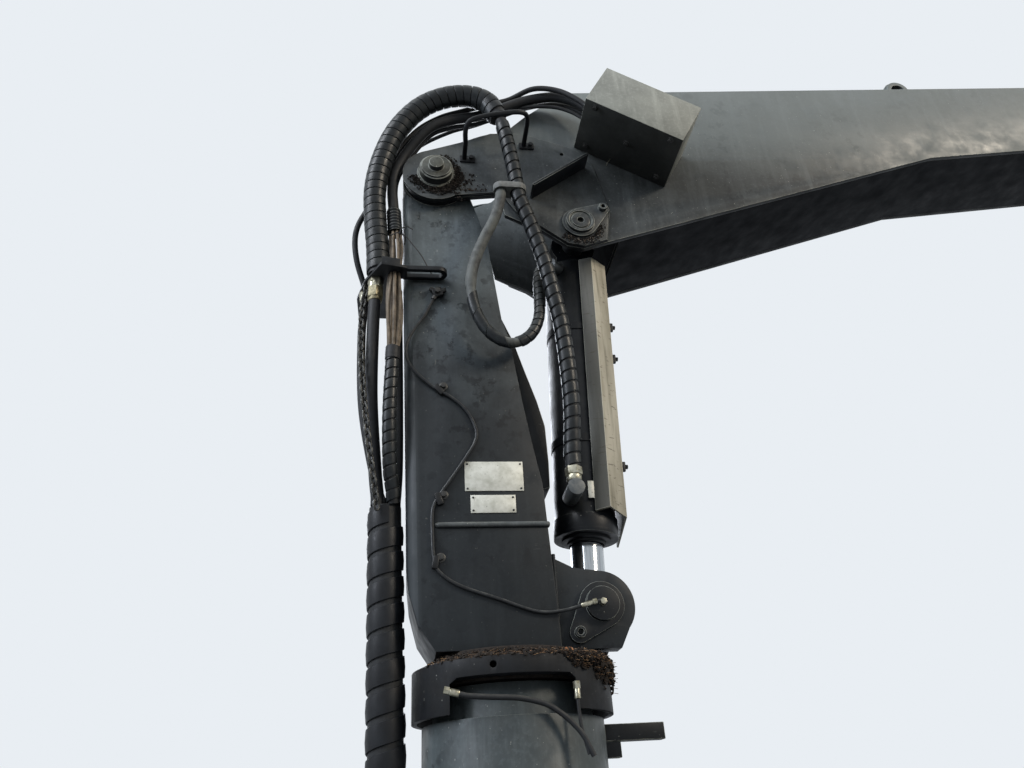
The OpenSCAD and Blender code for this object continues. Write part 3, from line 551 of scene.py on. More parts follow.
def wound_strip(radius_mm, width_mm, thick_mm, pitch_mm, length, bulge_mm, steps=18):
    """Flat strip wound round the Z axis as an open helix, with softly rounded corners."""
    radius, width, thick, pitch, bulge = [
        v * MM for v in (radius_mm, width_mm, thick_mm, pitch_mm, bulge_mm)]
    bm = bmesh.new()
    half = width / 2
    corner = min(thick, width) * 0.3
    section = [
        (radius, -half + corner), (radius, half - corner), (radius + corner, half),
        (radius + thick - corner, half), (radius + thick, half - corner),
        (radius + thick + bulge, 0), (radius + thick, -half + corner), (radius + thick - corner, -half),
        (radius + corner, -half)]
    ring = [bm.verts.new((r, 0, z)) for r, z in section]
    edges = [bm.edges.new((a, b)) for a, b in zip(ring, ring[1:] + ring[:1])]
    turns = (length - width) / pitch
    count = int(turns * steps)
    bmesh.ops.translate(bm, verts=ring, vec=(0, 0, half))
    bmesh.ops.spin(
        bm, geom=ring + edges, cent=(0, 0, 0), axis=(0, 0, 1), dvec=(0, 0, pitch / steps),
        angle=2 * math.pi * count / steps, steps=count, use_merge=False, use_duplicate=False)
    bmesh.ops.holes_fill(bm, edges=[e for e in bm.edges if e.is_boundary], sides=0)
    bmesh.ops.recalc_face_normals(bm, faces=bm.faces)
    return bm


def join(*parts):
    """One bmesh from several."""
    whole = bmesh.new()
    for bm in parts:
        scratch = bpy.data.meshes.new("scratch")
        bm.to_mesh(scratch)
        bm.free()
        whole.from_mesh(scratch)
        bpy.data.meshes.remove(scratch)
    return whole


BRACKET_TOP = 1454.3
ARC = Route([
    (-316, -128, BRACKET_TOP), (-316, -128, 1468), (-320, -130, 1545), (-329, -138, 1640),
    (-332, -150, 1740), (-314, -166, 1840), (-276, -184, 1935), (-212, -200, 2015), (-136, -214, 2052),
    (-62, -222, 2054), (-8, -226, 2022), (18, -226, 1966)])
FEED = Route([
    (24, -226, 1952), (36, -224, 1890), (49, -219, 1800), (58, -213, 1722), (60, -212, 1684),
    (74, -206, 1640), (96, -196, 1575), (122, -184, 1480), (142, -172, 1375), (158, -160, 1280),
    (166, -148, 1160), (168, -138, 1060), (164, -127, 985), (160, -122, 930), (160, -122, 906.3)])
LOOP = Route([
    (14, -216, 1710), (13, -216, 1684), (-4, -206, 1610), (-44, -196, 1520), (-70, -190, 1440),
    (-76, -186, 1370), (-60, -182, 1295), (-24, -178, 1240), (28, -174, 1222), (74, -168, 1252),
    (100, -158, 1310), (108, -146, 1380), (112, -132, 1440), (124, -112, 1500), (150, -94, 1540)])
THICK = Route([
    (-268, -146, BRACKET_TOP), (-268, -146, 1468), (-270, -140, 1540), (-275, -134, 1610),
    (-280, -132, 1680), (-285, -133, 1750), (-280, -139, 1810), (-250, -149, 1880), (-185, -178, 1958),
    (-116, -182, 1996), (-40, -178, 2022), (30, -178, 2058), (110, -186, 2092), (196, -200, 2100),
    (258, -214, 2066), (300, -224, 2016), (335, -226, 1972)])
THIN = Route([
    (-356, -62, BRACKET_TOP), (-356, -62, 1468), (-376, -84, 1530), (-384, -98, 1590), (-378, -106, 1640),
    (-356, -104, 1700), (-330, -106, 1760), (-306, -122, 1826), (-273, -139, 1898), (-218, -157, 1970),
    (-150, -168, 2018), (-80, -172, 2048), (0, -176, 2080), (60, -178, 2102), (130, -212, 2116),
    (200, -232, 2092), (256, -246, 2040), (300, -250, 1984), (330, -252, 1946)])
# Below the bracket: the plain hose, the cables with their guard, and the thin hose
PLAIN = Route([
    (-322, -118, 1418), (-322, -118, 1400), (-324, -118, 1300), (-322, -108, 1100), (-308, -88, 920),
    (-300, -78, 848), (-300, -78, 830)])
CABLES = Route([
    (-272, -146, 1445.7), (-272, -146, 1410), (-271, -144, 1250), (-276, -136, 1050), (-272, -112, 910),
    (-262, -86, 848), (-262, -86, 830.7)])
SLIM = Route([
    (-352, -60, 1418), (-352, -60, 1400), (-356, -60, 1300), (-346, -56, 1100), (-312, -44, 920),
    (-288, -36, 848), (-288, -36, 831.1)])
LUBE = Route([
    (-165, -134, 1392), (-192, -134, 1330), (-230, -136, 1262), (-240, -138, 1208), (-222, -136, 1165),
    (-175, -134, 1117), (-156, -134, 1106), (-104, -133, 1066), (-75, -133, 1016), (-72, -133, 972),
    (-106, -134, 912), (-158, -133, 834), (-174, -133, 800), (-175, -133, 740), (-170, -133, 676),
    (-150, -133, 648), (-110, -133, 624), (-34, -133, 597), (48, -133, 568), (104, -136, 568),
    (158, -142, 580), (186, -142, 586)])
GUIDE = Route([
    (-81, -160, 1860), (-81, -220, 1860), (-84, -270, 1858), (-74, -296, 1868), (-30, -302, 1885),
    (30, -302, 1902), (72, -298, 1912), (92, -276, 1920), (97, -220, 1925), (97, -160, 1925)])
print("hose lengths", [
    round(r.length, 2) for r in (ARC, FEED, LOOP, THICK, THIN, PLAIN, CABLES, SLIM, LUBE)])

# %% [markdown]
# The bundle over the pivot and the feed hose to the cylinder wear spiral guards: a strip wound with a
# small gap between its turns, over the round hose. The wide guard on the bundle beside the pillar has
# much broader turns. Wound straight and then bent, a strip opens on the outside of a curve, as it should.

# %% Guarded hoses


def guarded(route, outer_mm, pitch_mm, gap_mm, thick_mm):
    """Hose with a wound guard of that outer diameter, lying along its route."""
    radius_mm, length = outer_mm / 2 - thick_mm, route.length - 0.4 * MM
    core = straight_tube(radius_mm - 0.3, length, 0.012)
    strip = wound_strip(radius_mm, pitch_mm - gap_mm, thick_mm, pitch_mm, length, 0.5)
    return lay_along(core, route), lay_along(strip, route, 0.0, 40)


def bent_between(name, bm, finish, a, b, start, end, node=None):
    """Piece of hose fixed where it is built, standing for a CAD node if one is named."""
    piece = place_mesh(name, bm, finish)
    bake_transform(piece)
    if node:
        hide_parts(node)


# The arc leaves the bracket on the pillar and is held at the boom's guide, past the pivot. The feed hose
# hangs from the clamp on the boom and ends at the barrel's elbow. Their guards stand a few millimetres
# proud of the plain hoses in the part's source.
ARC_SPAN = ("pillar", "boom", (-320, -130, 1480), (-20, -225, 2040))
FEED_SPAN = ("boom", "barrel", (60, -212, 1640), (162, -125, 960))
for name, route, sizes_mm, span in (
        ("arc", ARC, (62, 26, 1.6, 4.0), ARC_SPAN), ("feed", FEED, (42, 31, 6.0, 3.0), FEED_SPAN)):
    core, strip = guarded(route, *sizes_mm)
    bent_between(name + "_core", core, "hose_rubber", *span, node=name + "_hose")
    bent_between(name + "_guard", strip, "guard_plastic", *span)

# The loop hose is bare and grey for its first 0.3 m, then wrapped broadly, and closer up to the barrel.
# The loop's lowest point moves half with the boom and half with the barrel, so each half bends over a
# span of which that point is the middle.
HANGING_SPAN = ("boom", "barrel", (0, -206, 1660), (56, -142, 784))
RISING_SPAN = ("boom", "barrel", (-94, -254, 904), (150, -94, 1540))
GUARD_FROM = 0.34
LOWEST_POINT = 8
LOOP_LOW = LOOP.reach_of(LOWEST_POINT)
BARE_MM, WRAPPED_MM = 14.8, 12.6


def loop_half(names, start, length, wrap_from, width_mm, pitch_mm, span, node=None):
    """Half of the loop hose, bare above where its guard begins."""
    hose = straight_tube(WRAPPED_MM, length, 0.008)
    for vert in hose.verts:
        if start + vert.co.z < wrap_from:
            vert.co.x *= BARE_MM / WRAPPED_MM
            vert.co.y *= BARE_MM / WRAPPED_MM
    strip = wound_strip(
        WRAPPED_MM + 0.1, width_mm, 2.2, pitch_mm, start + length - wrap_from - 3 * MM, 0.4)
    bent_between(names[0], lay_along(hose, LOOP, start), "grey_rubber", *span, node=node)
    bent_between(names[1], lay_along(strip, LOOP, wrap_from, 40), "guard_plastic", *span)


loop_half(("loop_plain", "loop_guard"), 0.0, LOOP_LOW, GUARD_FROM, 54, 56, HANGING_SPAN, "loop_hose")
loop_half(
    ("loop_rising", "loop_rising_guard"), LOOP_LOW, LOOP.length - LOOP_LOW, LOOP_LOW, 21, 24, RISING_SPAN)
print("loop hose lowest at", round(LOOP_LOW, 3), "of", round(LOOP.length, 3))

# Two bare hoses run on over the boom's root into the cover. The thick one starts in a short ribbed
# sleeve, from which thin cables go down through the bracket.
THICK_SPAN = ("pillar", "boom", (-276, -134, 1640), (-60, -180, 2010))
SLEEVE_LOW = 140 * MM
SLEEVE_LONG = 84 * MM
RIB_PITCH = 11 * MM


def laid_tube(route, diameter_mm, start=0.0, length=None, sides=14, shift=(0, 0)):
    """Plain hose along a stretch of a route, beside its middle line if shifted."""
    tube = straight_tube(diameter_mm / 2, length or route.length - start, 0.01, sides)
    bmesh.ops.translate(tube, verts=tube.verts, vec=(shift[0] * MM, shift[1] * MM, 0))
    return lay_along(tube, route, start)


def strands(route, length, spread_mm, strand_mm, count, fan):
    """Loose cables side by side along a route, each a little wavy, and fanned out midway."""
    parts = []
    for i in range(count):
        angle = 2 * math.pi * i / count + 0.4
        tube = straight_tube(strand_mm / 2, length, 0.012, 8)
        for vert in tube.verts:
            sway = 1.6 * math.sin(vert.co.z / 0.05 + 2.1 * i)
            opened = 1 + fan * math.sin(math.pi * min(max(vert.co.z / length, 0), 1))
            vert.co.x += (spread_mm + sway) * opened * math.cos(angle) * MM
            vert.co.y += (spread_mm - sway) * opened * math.sin(angle) * MM
        parts.append(lay_along(tube, route))
    return join(*parts)


pair = join(laid_tube(THICK, 29.8, SLEEVE_LOW + 10 * MM), laid_tube(THIN, 15.8))
bent_between("boom_hose_pair", pair, "hose_rubber", *THICK_SPAN, node="boom_hoses")
inner = Route([
    (-290, -84, 1455), (-290, -84, 1470), (-290, -84, 1560), (-284, -86, 1700), (-281, -90, 1798),
    (-262, -98, 1880), (-212, -112, 1950), (-120, -130, 2000), (-40, -136, 2030), (40, -150, 2062),
    (110, -180, 2070), (196, -196, 2060), (256, -206, 2024), (300, -214, 1975)])
inner_pair = join(
    laid_tube(THICK, 13, SLEEVE_LOW + 20 * MM, THICK.length - SLEEVE_LOW - 60 * MM, 10, (26, -8)),
    laid_tube(inner, 11, sides=10))
bent_between("inner_hoses", inner_pair, "hose_rubber", *THICK_SPAN)
sleeve = straight_tube(
    20.5, SLEEVE_LONG, 0.0012, 20, lambda z: 20.5 - 3 * abs(math.sin(math.pi * z / RIB_PITCH)) ** 3)
bent_between("cable_sleeve", lay_along(sleeve, THICK, SLEEVE_LOW, 50), "guard_plastic", *THICK_SPAN)
above = strands(THICK, SLEEVE_LOW + 12 * MM, 10.5, 8, 6, 0.3)
place_mesh("cables_above", above, "cable_tan", "pillar")

# Below the bracket the cables run on to a narrow guard, beside a plain hose and a thin one
CABLES_BARE = 225 * MM
below = strands(CABLES, CABLES_BARE + 8 * MM, 11.5, 9, 7, 0.5)
place_mesh("cables_below", below, "cable_tan", "pillar")
guarded_part = CABLES.length - CABLES_BARE
narrow = Route([CABLES.at(CABLES_BARE + guarded_part * t / 12)[0] / MM for t in range(13)])
core, strip = guarded(narrow, 34, 27, 4.0, 2.6)
place_mesh("narrow_core", join(core, laid_tube(narrow, 37, 0.0, 34 * MM)), "hose_rubber", "pillar")
place_mesh("narrow_guard", strip, "guard_plastic", "pillar")
BACK = Route([
    (-264, -72, 1445.5), (-264, -72, 1430), (-262, -72, 1350), (-257, -72, 1150), (-254, -72, 950),
    (-256, -64, 872), (-258, -56, 845), (-258, -56, 831)])
place_mesh("back_hose", laid_tube(BACK, 23, sides=16), "hose_rubber", "pillar")
plain_pair = join(laid_tube(PLAIN, 31.6), laid_tube(SLIM, 21.6))
plain_pair = place_mesh("pillar_hose_pair", plain_pair, "hose_rubber", "pillar")
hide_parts("pillar_hoses")

# The rod guide over the arc, and the thin line that carries grease to the lower pin
guide = place_mesh("guide_rod", laid_tube(GUIDE, 13.8, sides=16), "dark_enamel", "boom")
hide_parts("hose_guide")
lube = place_mesh("lube_tube", laid_tube(LUBE, 8, sides=10), "lube_plastic", "pillar")
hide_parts("lube_line")

# %% [markdown]
# The large bundle's guard stands beside the pillar. Its turns are 57 mm apart, of a strip so broad and so
# rounded that they look like a stack of black cups.

# %% Wide guard of the large bundle
BUNDLE_TOP = Vector((-282, -60, 830)) * MM
low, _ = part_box("hose_guard")
bundle_foot = Vector((BUNDLE_TOP.x + 16 * MM, BUNDLE_TOP.y + 14 * MM, low.z + 1.2 * MM))
BUNDLE = Route([tuple(v / MM for v in p) for p in (
    bundle_foot, bundle_foot.lerp(BUNDLE_TOP, 0.3), bundle_foot.lerp(BUNDLE_TOP, 0.6), BUNDLE_TOP)])
core = lay_along(straight_tube(36.8, BUNDLE.length, 0.03, 24), BUNDLE)
strip = lay_along(wound_strip(36.9, 45, 3.6, 57, BUNDLE.length, 1.5, 28), BUNDLE, 0.0, 40)
BUNDLE_SPAN = ("base", "pillar", (-266, -46, 300), (-282, -60, 800))
bent_between("bundle_core", core, "hose_rubber", *BUNDLE_SPAN, node="hose_guard")
bent_between("bundle_guard", strip, "wide_guard_plastic", *BUNDLE_SPAN)
print("the bundle's guard is", round(BUNDLE.length, 3), "m long")

# %% [markdown]
# Small turned and hexagonal parts are built standing up on the Z axis, where their sizes read like a
# fastener table, and then stood on the plate that carries them. All of them are seated a little into it.

# %% Fasteners and fittings
NEAR = (0, -1, 0)


def lathe(profile_mm, steps=24):
    """Turned piece about the Z axis from a profile of radius and height."""
    bm = bmesh.new()
    line = [bm.verts.new((r * MM, 0, z * MM)) for r, z in profile_mm]
    edges = [bm.edges.new(pair) for pair in zip(line, line[1:])]
    bmesh.ops.spin(
        bm, geom=line + edges, cent=(0, 0, 0), axis=(0, 0, 1), dvec=(0, 0, 0), angle=2 * math.pi,
        steps=steps, use_merge=False, use_duplicate=False)
    bmesh.ops.remove_doubles(bm, verts=bm.verts, dist=0.01 * MM)
    bmesh.ops.recalc_face_normals(bm, faces=bm.faces)
    crease(bm, 40)
    return bm


def prism(across_mm, height_mm):
    """Hexagonal nut or bolt head up the Z axis, measured across its flats, with its corners taken off."""
    bm = bmesh.new()
    radius = across_mm / 2 / math.cos(math.pi / 6) * MM
    bmesh.ops.create_cone(
        bm, cap_ends=True, segments=6, radius1=radius, radius2=radius, depth=height_mm * MM,
        matrix=Matrix.Translation((0, 0, height_mm / 2 * MM)))
    rounded(bm, bm.edges[:], across_mm * 0.05, 0.6)
    crease(bm, 35)
    return bm


def bolt(across_mm):
    """Bolt head on its washer, with a little of it sunk in the plate."""
    a = across_mm
    washer = lathe([(0, -1), (a * 0.85, -1), (a * 0.85, a * 0.12), (a * 0.8, a * 0.16), (0, a * 0.16)], 20)
    head = prism(a, a * 0.62)
    bmesh.ops.translate(head, verts=head.verts, vec=(0, 0, a * 0.15 * MM))
    return join(washer, head)


def block(size_mm, edge_mm):
    """Small box with rounded edges, standing on the origin."""
    bm = bmesh.new()
    bmesh.ops.create_cube(bm, size=MM, matrix=Matrix.Diagonal((*size_mm, 1)))
    bmesh.ops.translate(bm, verts=bm.verts, vec=(0, 0, size_mm[2] / 2 * MM))
    rounded(bm, bm.edges[:], edge_mm)
    crease(bm, 50)
    return bm


def stand(bm, place_mm, toward=NEAR, spin=0):
    """Puts a piece that stands on the Z axis at a place, pointing another way."""
    aim = Vector((0, 0, 1)).rotation_difference(Vector(toward)).to_matrix().to_4x4()
    move = Matrix.Translation(Vector(place_mm) * MM) @ aim @ turned("Z", spin)
    bmesh.ops.transform(bm, matrix=move, verts=bm.verts)
    return bm


def bent_bar(points_mm, diameter_mm, sides):
    """Round bar, wire or small pipe along a smooth line."""
    route = Route(points_mm, 5)
    return lay_along(straight_tube(diameter_mm / 2, route.length, 0.004, sides), route)


# Near faces of the pillar's side and of the root doubler, and the middles of the three pins
SIDE_Y = -128
DOUBLER_Y = -160
UPPER = Vector((239, 0, 1633))
LOWER = Vector((195, 0, 584))
PIVOT = Vector((-163, 0, 1798))
LEAN = math.degrees(math.atan2(UPPER.x - LOWER.x, UPPER.z - LOWER.z))


def on_barrel(bm, place_mm=(0, 0, 0)):
    """Moves a piece to its place on the cylinder, whose axis is measured down from the upper pin."""
    axis = Matrix.Translation(UPPER * MM) @ turned("Y", 180 + LEAN)
    bmesh.ops.transform(bm, matrix=axis @ Matrix.Translation(Vector(place_mm) * MM), verts=bm.verts)
    return bm


# Lube line: a strap and a bolt at each clip, a cross fitting at its start, a crimped end on the pin
straps, strap_bolts = [], []
for x, z, lean in ((-158, 1109, 40), (-160, 825, 20), (-168, 679, -10)):
    straps.append(stand(block((15, 30, 11), 2.5), (x, SIDE_Y + 0.5, z), NEAR, lean))
    strap_bolts.append(stand(bolt(13), (x + 11, SIDE_Y, z + 11), NEAR, lean))
straps.append(stand(block((26, 26, 14), 2), (-160, SIDE_Y + 0.5, 1399), NEAR, 20))
place_mesh("lube_straps", join(*straps), "tie_nylon", "pillar")
strap_bolts.append(stand(prism(14, 9), (-160, SIDE_Y - 13, 1399), NEAR, 10))
for dx, dz in ((1, 0.5), (-0.55, -1), (-0.9, 0.6)):
    strap_bolts.append(stand(prism(11, 14), (-160 + 9 * dx, SIDE_Y - 7, 1399 + 9 * dz), (dx, 0, dz)))
place_mesh("lube_bolts", join(*strap_bolts), "bolt_steel", "pillar")
crimp_at, crimp_frame = LUBE.at(LUBE.length - 44 * MM)
crimp = lathe([(0, 0), (4.6, 0), (5.6, 2), (5.6, 20), (4.8, 22), (4.8, 26), (6.4, 27), (6.4, 36), (0, 36)])
place_mesh("lube_end", join(
    stand(crimp, crimp_at / MM, crimp_frame[2]), stand(prism(13, 15), (193, -131, 585), NEAR, 15),
    stand(lathe([(0, 0), (8, 0), (8, 3), (6.5, 5), (6.5, 12), (0, 13)]), (193, -130.5, 585))),
    "zinc_steel", "pillar")

# Feed hose: its pale nut and crimped collar on the elbow pipe
place_mesh("feed_nut", join(
    stand(prism(37, 20), (160, -122, 886), (0, 0, 1), 12),
    stand(lathe([(0, 0), (17, 0), (18, 2), (18, 12), (17, 14), (0, 14)]), (160, -122, 872), (0, 0, 1))),
    "zinc_steel", "barrel")
# Plain hose beside the pillar: its yellowed nut under the bracket
place_mesh("plain_hose_nut", join(
    stand(prism(38, 32), (-322, -118, 1386), (0, 0, 1), 8),
    stand(lathe([(0, 0), (17.2, 0), (18, 2), (18, 10), (0, 10)]), (-322, -118, 1377), (0, 0, 1))),
    "yellow_zinc", "pillar")
# Barrel: two dark bands round it, under the guard's ends
place_mesh("barrel_bands", join(*[
    on_barrel(lathe([(74.5, 0), (77.2, 1), (77.2, 22), (74.5, 23)], 48), (0, 0, down))
    for down in (275, 612)]), "dark_enamel", "barrel")

# Guide: each leg ends in a foot held by a bolt beside it
feet = []
for x, z in ((-81, 1860), (97, 1925)):
    feet.append(stand(block((44, 24, 6), 2), (x + 9, DOUBLER_Y + 0.6, z)))
    feet.append(stand(bolt(12), (x + 20, DOUBLER_Y - 5, z)))
place_mesh("guide_feet", join(*feet), "dark_enamel", "boom")

# Cover: five small bolts through its underside, and a split pin that hangs below
COVER_TURN = math.radians(-29.5)
COVER_CORNER = Vector((253, 0, 1943))
along_cover = Vector((math.cos(COVER_TURN), 0, math.sin(COVER_TURN)))
under_cover = Vector((math.sin(COVER_TURN), 0, -math.cos(COVER_TURN)))
cover_bolts = []
for along, y in ((34, -318), (34, -176), (150, -246), (266, -318), (266, -176)):
    spot = COVER_CORNER + along_cover * along + Vector((0, y, 0))
    cover_bolts.append(stand(bolt(11), spot, under_cover, along))
place_mesh("cover_bolts", join(*cover_bolts), "bolt_steel", "boom")
pin_top = COVER_CORNER + along_cover * 118 + Vector((0, -168, 0))
pin_line = [
    pin_top + under_cover * d + Vector((w, 0, 0)) for d, w in ((-2, 0), (8, 1), (22, -1), (34, 2))]
place_mesh("split_pin", bent_bar(pin_line, 2.2, 6), "zinc_steel", "boom")

# Plates: four rivets each
RIVET = [(0, 0), (2.6, 0), (2.4, 1), (1.4, 1.8), (0, 2)]
place_mesh("plate_rivets", join(*[
    stand(lathe(RIVET, 12), (x, -129.9, z))
    for x0, z0, x1, z1 in ((-100, 845, 37, 918), (-88, 792, 16, 835))
    for x in (x0 + 6, x1 - 6) for z in (z0 + 6, z1 - 6)]), "bolt_steel", "pillar")

# Cylinder: the gland ring with its wiper on the rod side, clips along the guard's edge, and a blank tab
place_mesh("gland_ring", on_barrel(lathe([
    (41.5, 858), (79.2, 858), (79.2, 860), (77, 862), (77, 868), (60, 868.5), (60, 874), (54, 876),
    (47, 876), (47, 881), (43, 883), (41.5, 881), (41.5, 858)], 48)), "dark_enamel", "barrel")
place_mesh("guard_clips", join(*[
    on_barrel(join(block((16, 9, 26), 2), stand(prism(10, 6), (-8, 0, 13), (-1, 0, 0))), (-91, -54, down))
    for down in (262, 364, 680)]), "tie_nylon", "barrel")
place_mesh("guard_tab", on_barrel(block((15, 1.4, 44), 0.5), (-1, -82, 745)), "weathered_plate", "barrel")

# Wire that ties the sleeve to the bracket's loop, its twisted end left standing out
wire = [bent_bar(points, 3.2, 8) for points in (
    [(-262, -166, 1568), (-247, -168, 1560), (-226, -166, 1532), (-204, -166, 1498), (-188, -162, 1466),
     (-176, -152, 1447)],
    [(-286, -160, 1566), (-268, -168, 1570), (-250, -164, 1566), (-246, -148, 1563), (-248, -130, 1562)],
    [(-262, -168, 1566), (-256, -178, 1576), (-240, -182, 1580), (-226, -180, 1572)])]
place_mesh("tie_wire", join(*wire), "wire_steel", "pillar")

# Collar: a grease fitting in each side of the cut-out, and the hose that joins them round the neck
place_mesh("collar_hose", bent_bar(
    [(-128, -203, 400), (-112, -204, 396), (-70, -206, 392), (-11, -206, 388), (39, -205, 376),
     (68, -204, 359), (92, -204, 338), (112, -206, 312), (126, -208, 280)], 11, 12), "hose_rubber", "base")
place_mesh("collar_fittings", join(
    stand(lathe([(0, 0), (6, 0), (7, 2), (7, 18), (6, 20), (0, 20)]), (-145, -202, 405), (1, 0, -0.25)),
    stand(prism(13, 11), (-156, -200, 409), (1, 0, -0.25)),
    stand(prism(13, 14), (106, -197, 416), (0, 0, -1)),
    stand(lathe([(0, 0), (5, 0), (6, 2), (6, 20), (0, 22)]), (106, -197, 404), (0, 0, -1))),
    "zinc_steel", "base")
place_mesh("collar_pipe", bent_bar(
    [(106, -197, 386), (106, -197, 378), (107, -197, 350), (110, -199, 322), (118, -203, 284)], 7, 10),
    "hose_rubber", "base")
print("the cylinder leans", round(LEAN, 1), "degrees")
print(len(cover_bolts), "bolts in the cover,", len(strap_bolts), "at the lube line")

# %% [markdown]
# The plates are welded with a bead that shows its ripples under the enamel. Each bead is a straight rod
# with a fine wave in its radius, bent along the corner and half sunk in it.

# %% Weld beads
BEAD_MM = 4.5
RIPPLE = 4.8 * MM


def weld(points_mm):
    """Weld bead along a line of points."""
    route = Route(points_mm, 4)
    bead = straight_tube(
        BEAD_MM, route.length, 0.0016, 8,
        lambda z: BEAD_MM * (0.86 + 0.14 * abs(math.sin(math.pi * z / RIPPLE))))
    return lay_along(bead, route, 0.0, 60)


place_mesh("pillar_welds", join(*[
    weld([(97, y, 700), (97, y, 600), (97, y, 497)]) for y in (-108, 108)]), "pillar_enamel", "pillar")
place_mesh("seam_bead", bent_bar(
    [(-166, -124, 764), (-160, -127, 764), (0, -127, 764), (84, -127, 764), (88, -125, 764)], 15, 14),
    "root_enamel", "pillar")
DOUBLER_TOP = [(-190, 1886), (-130, 1912), (-90, 1930), (0, 1973), (96, 1979), (176, 1952), (252, 1926),
               (278, 1892), (301, 1860), (316, 1780), (331, 1700), (322, 1640), (313, 1582)]
for name, y in (("near", -151), ("far", 151)):
    bead = weld([(x, y, z) for x, z in DOUBLER_TOP])
    place_mesh("doubler_weld_" + name, bead, "boom_enamel", "boom")
place_mesh("guide_welds", join(*[
    stand(lathe([(0, 0), (11, 0), (10, 2.5), (8, 5), (6.9, 7)], 16), (x, DOUBLER_Y + 0.5, z))
    for x, z in ((-81, 1860), (97, 1925))]), "dark_enamel", "boom")
print("the doubler's bead follows", len(DOUBLER_TOP), "points")

# %% [markdown]
# Needles, bark crumbs and oily dust gather where nothing sweeps them off: on the collar's sloped rim,
# mostly on the side under the cylinder's lugs, and in the grease round the pins. A fixed seed keeps
# every run the same.

# %% Dirt and forest litter
dice = random.Random(7)
# The collar, in mm: its lid's edge, from which the rim slopes out and down to the band
LID_RADIUS, LID_HIGH, RIM_WIDE, RIM_DROP = 183, 485, 34, 17
BAND_RADIUS, BAND_HIGH = 216, 476
# The heap's middle and the longest tongue that spills over the band, as angles round the collar
HEAP_AT, TONGUE_AT = -36, -26


def crumbs(spots, size_mm, flat=0.6):
    """Angular crumbs at the given places, each turned its own way, made by the hundred for speed."""
    if len(spots) > 100:
        return join(*[crumbs(spots[i:i + 100], size_mm, flat) for i in range(0, len(spots), 100)])
    bm = bmesh.new()
    for spot in spots:
        size = dice.uniform(*size_mm)
        turn = Matrix.Rotation(dice.uniform(0, 6.28), 4, Vector([dice.uniform(-1, 1) for _ in range(3)]))
        shape = Matrix.Diagonal((size, size * dice.uniform(0.5, 1), size * dice.uniform(0.3, flat), 1))
        grown = bmesh.ops.create_icosphere(
            bm, subdivisions=1, radius=0.5 * MM,
            matrix=Matrix.Translation(Vector(spot) * MM) @ turn @ shape)
        for vert in grown["verts"]:
            vert.co += Vector([dice.uniform(-0.12, 0.12) * size * MM for _ in range(3)])
    return bm


def needles(spots, length_mm, rise):
    """Pine needles that lie on a slope, each a thin bent blade."""
    bm = bmesh.new()
    for spot in spots:
        heading = Vector((dice.uniform(-1, 1), dice.uniform(-1, 1), dice.uniform(-rise, rise)))
        heading.normalize()
        side = heading.cross(Vector((0, 0, 1))).normalized() * 0.7 * MM
        start = Vector(spot) * MM
        length = dice.uniform(*length_mm) * MM
        sag = Vector((0, 0, -dice.uniform(0, 3) * MM))
        row = []
        for t in (0.0, 0.5, 1.0):
            middle = start + heading * length * (t - 0.5) + sag * (2 * t - 1) ** 2
            row.append([bm.verts.new(middle + offset) for offset in (
                side, Vector((0, 0, 0.8 * MM)), -side)])
        for a, b in zip(row, row[1:]):
            for i in range(3):
                bm.faces.new((a[i], a[(i + 1) % 3], b[(i + 1) % 3], b[i]))
        bm.faces.new(row[0][::-1])
        bm.faces.new(row[-1])
    bmesh.ops.recalc_face_normals(bm, faces=bm.faces)
    return bm


def rim_spot(angle, out, lift):
    """Place on the collar's sloped rim: out from 0 at the lid's edge to 1 at the band."""
    radius = LID_RADIUS + RIM_WIDE * out
    return (radius * math.cos(angle), radius * math.sin(angle), LID_HIGH - RIM_DROP * out + lift)


def drift(angle):
    """How deep the litter lies at an angle: most on the right, thinner toward the front and the back."""
    away = abs((math.degrees(angle) - HEAP_AT + 180) % 360 - 180)
    return min(1.0, max(0.0, 1.6 - away / 26)) + 0.16 * max(0.0, 1 - away / 110)


def litter_spots(count, thick_mm):
    """Places in the litter on the rim, and some down the band where it spills over."""
    spots = []
    while len(spots) < count:
        angle = math.radians(dice.uniform(-150, 40))
        deep = drift(angle)
        if dice.random() > 0.1 + deep:
            continue
        out = dice.uniform(0, 1)
        lift = dice.uniform(0, thick_mm) * deep * out
        spot = rim_spot(angle, out, min(lift, RIM_DROP * out - 2))
        if deep > 0.55 and dice.random() < 0.62:
            down = dice.uniform(0, 1) ** 1.3
            bulge = 12 * deep * math.sin(math.pi * (0.12 + 0.8 * down))
            radius = BAND_RADIUS + dice.uniform(0, 1) * bulge
            ragged = 0.72 + 0.2 * math.sin(17 * angle) + 0.14 * math.sin(41 * angle + 1)
            spill = (24 + 58 * max(0.0, 1 - abs(math.degrees(angle) - TONGUE_AT) / 40)) * ragged
            spot = (radius * math.cos(angle), radius * math.sin(angle), BAND_HIGH - spill * down)
        spots.append(spot)
    return spots


place_mesh("litter_bed", crumbs(litter_spots(1300, 14), (6, 14)), "dark_mud", "base")
place_mesh("litter_crumbs", crumbs(litter_spots(1000, 16), (3, 8)), "litter_brown", "base")
place_mesh("litter_needles", needles(litter_spots(360, 18), (14, 34), 0.2), "needle_brown", "base")
place_mesh("litter_chips", crumbs(litter_spots(26, 18), (7, 13), 0.3), "bark_red", "base")


def round_pin(centre, radius_mm, degrees, count, thick_mm=5):
    """Places in the crust round a pin, on the face of the doubler."""
    spots = []
    for _ in range(count):
        angle = math.radians(dice.uniform(*degrees))
        out = dice.triangular(*radius_mm, radius_mm[0])
        x, z = centre.x + out * math.cos(angle), centre.z + out * math.sin(angle)
        spots.append((x, DOUBLER_Y - dice.uniform(0, thick_mm), z))
    return spots


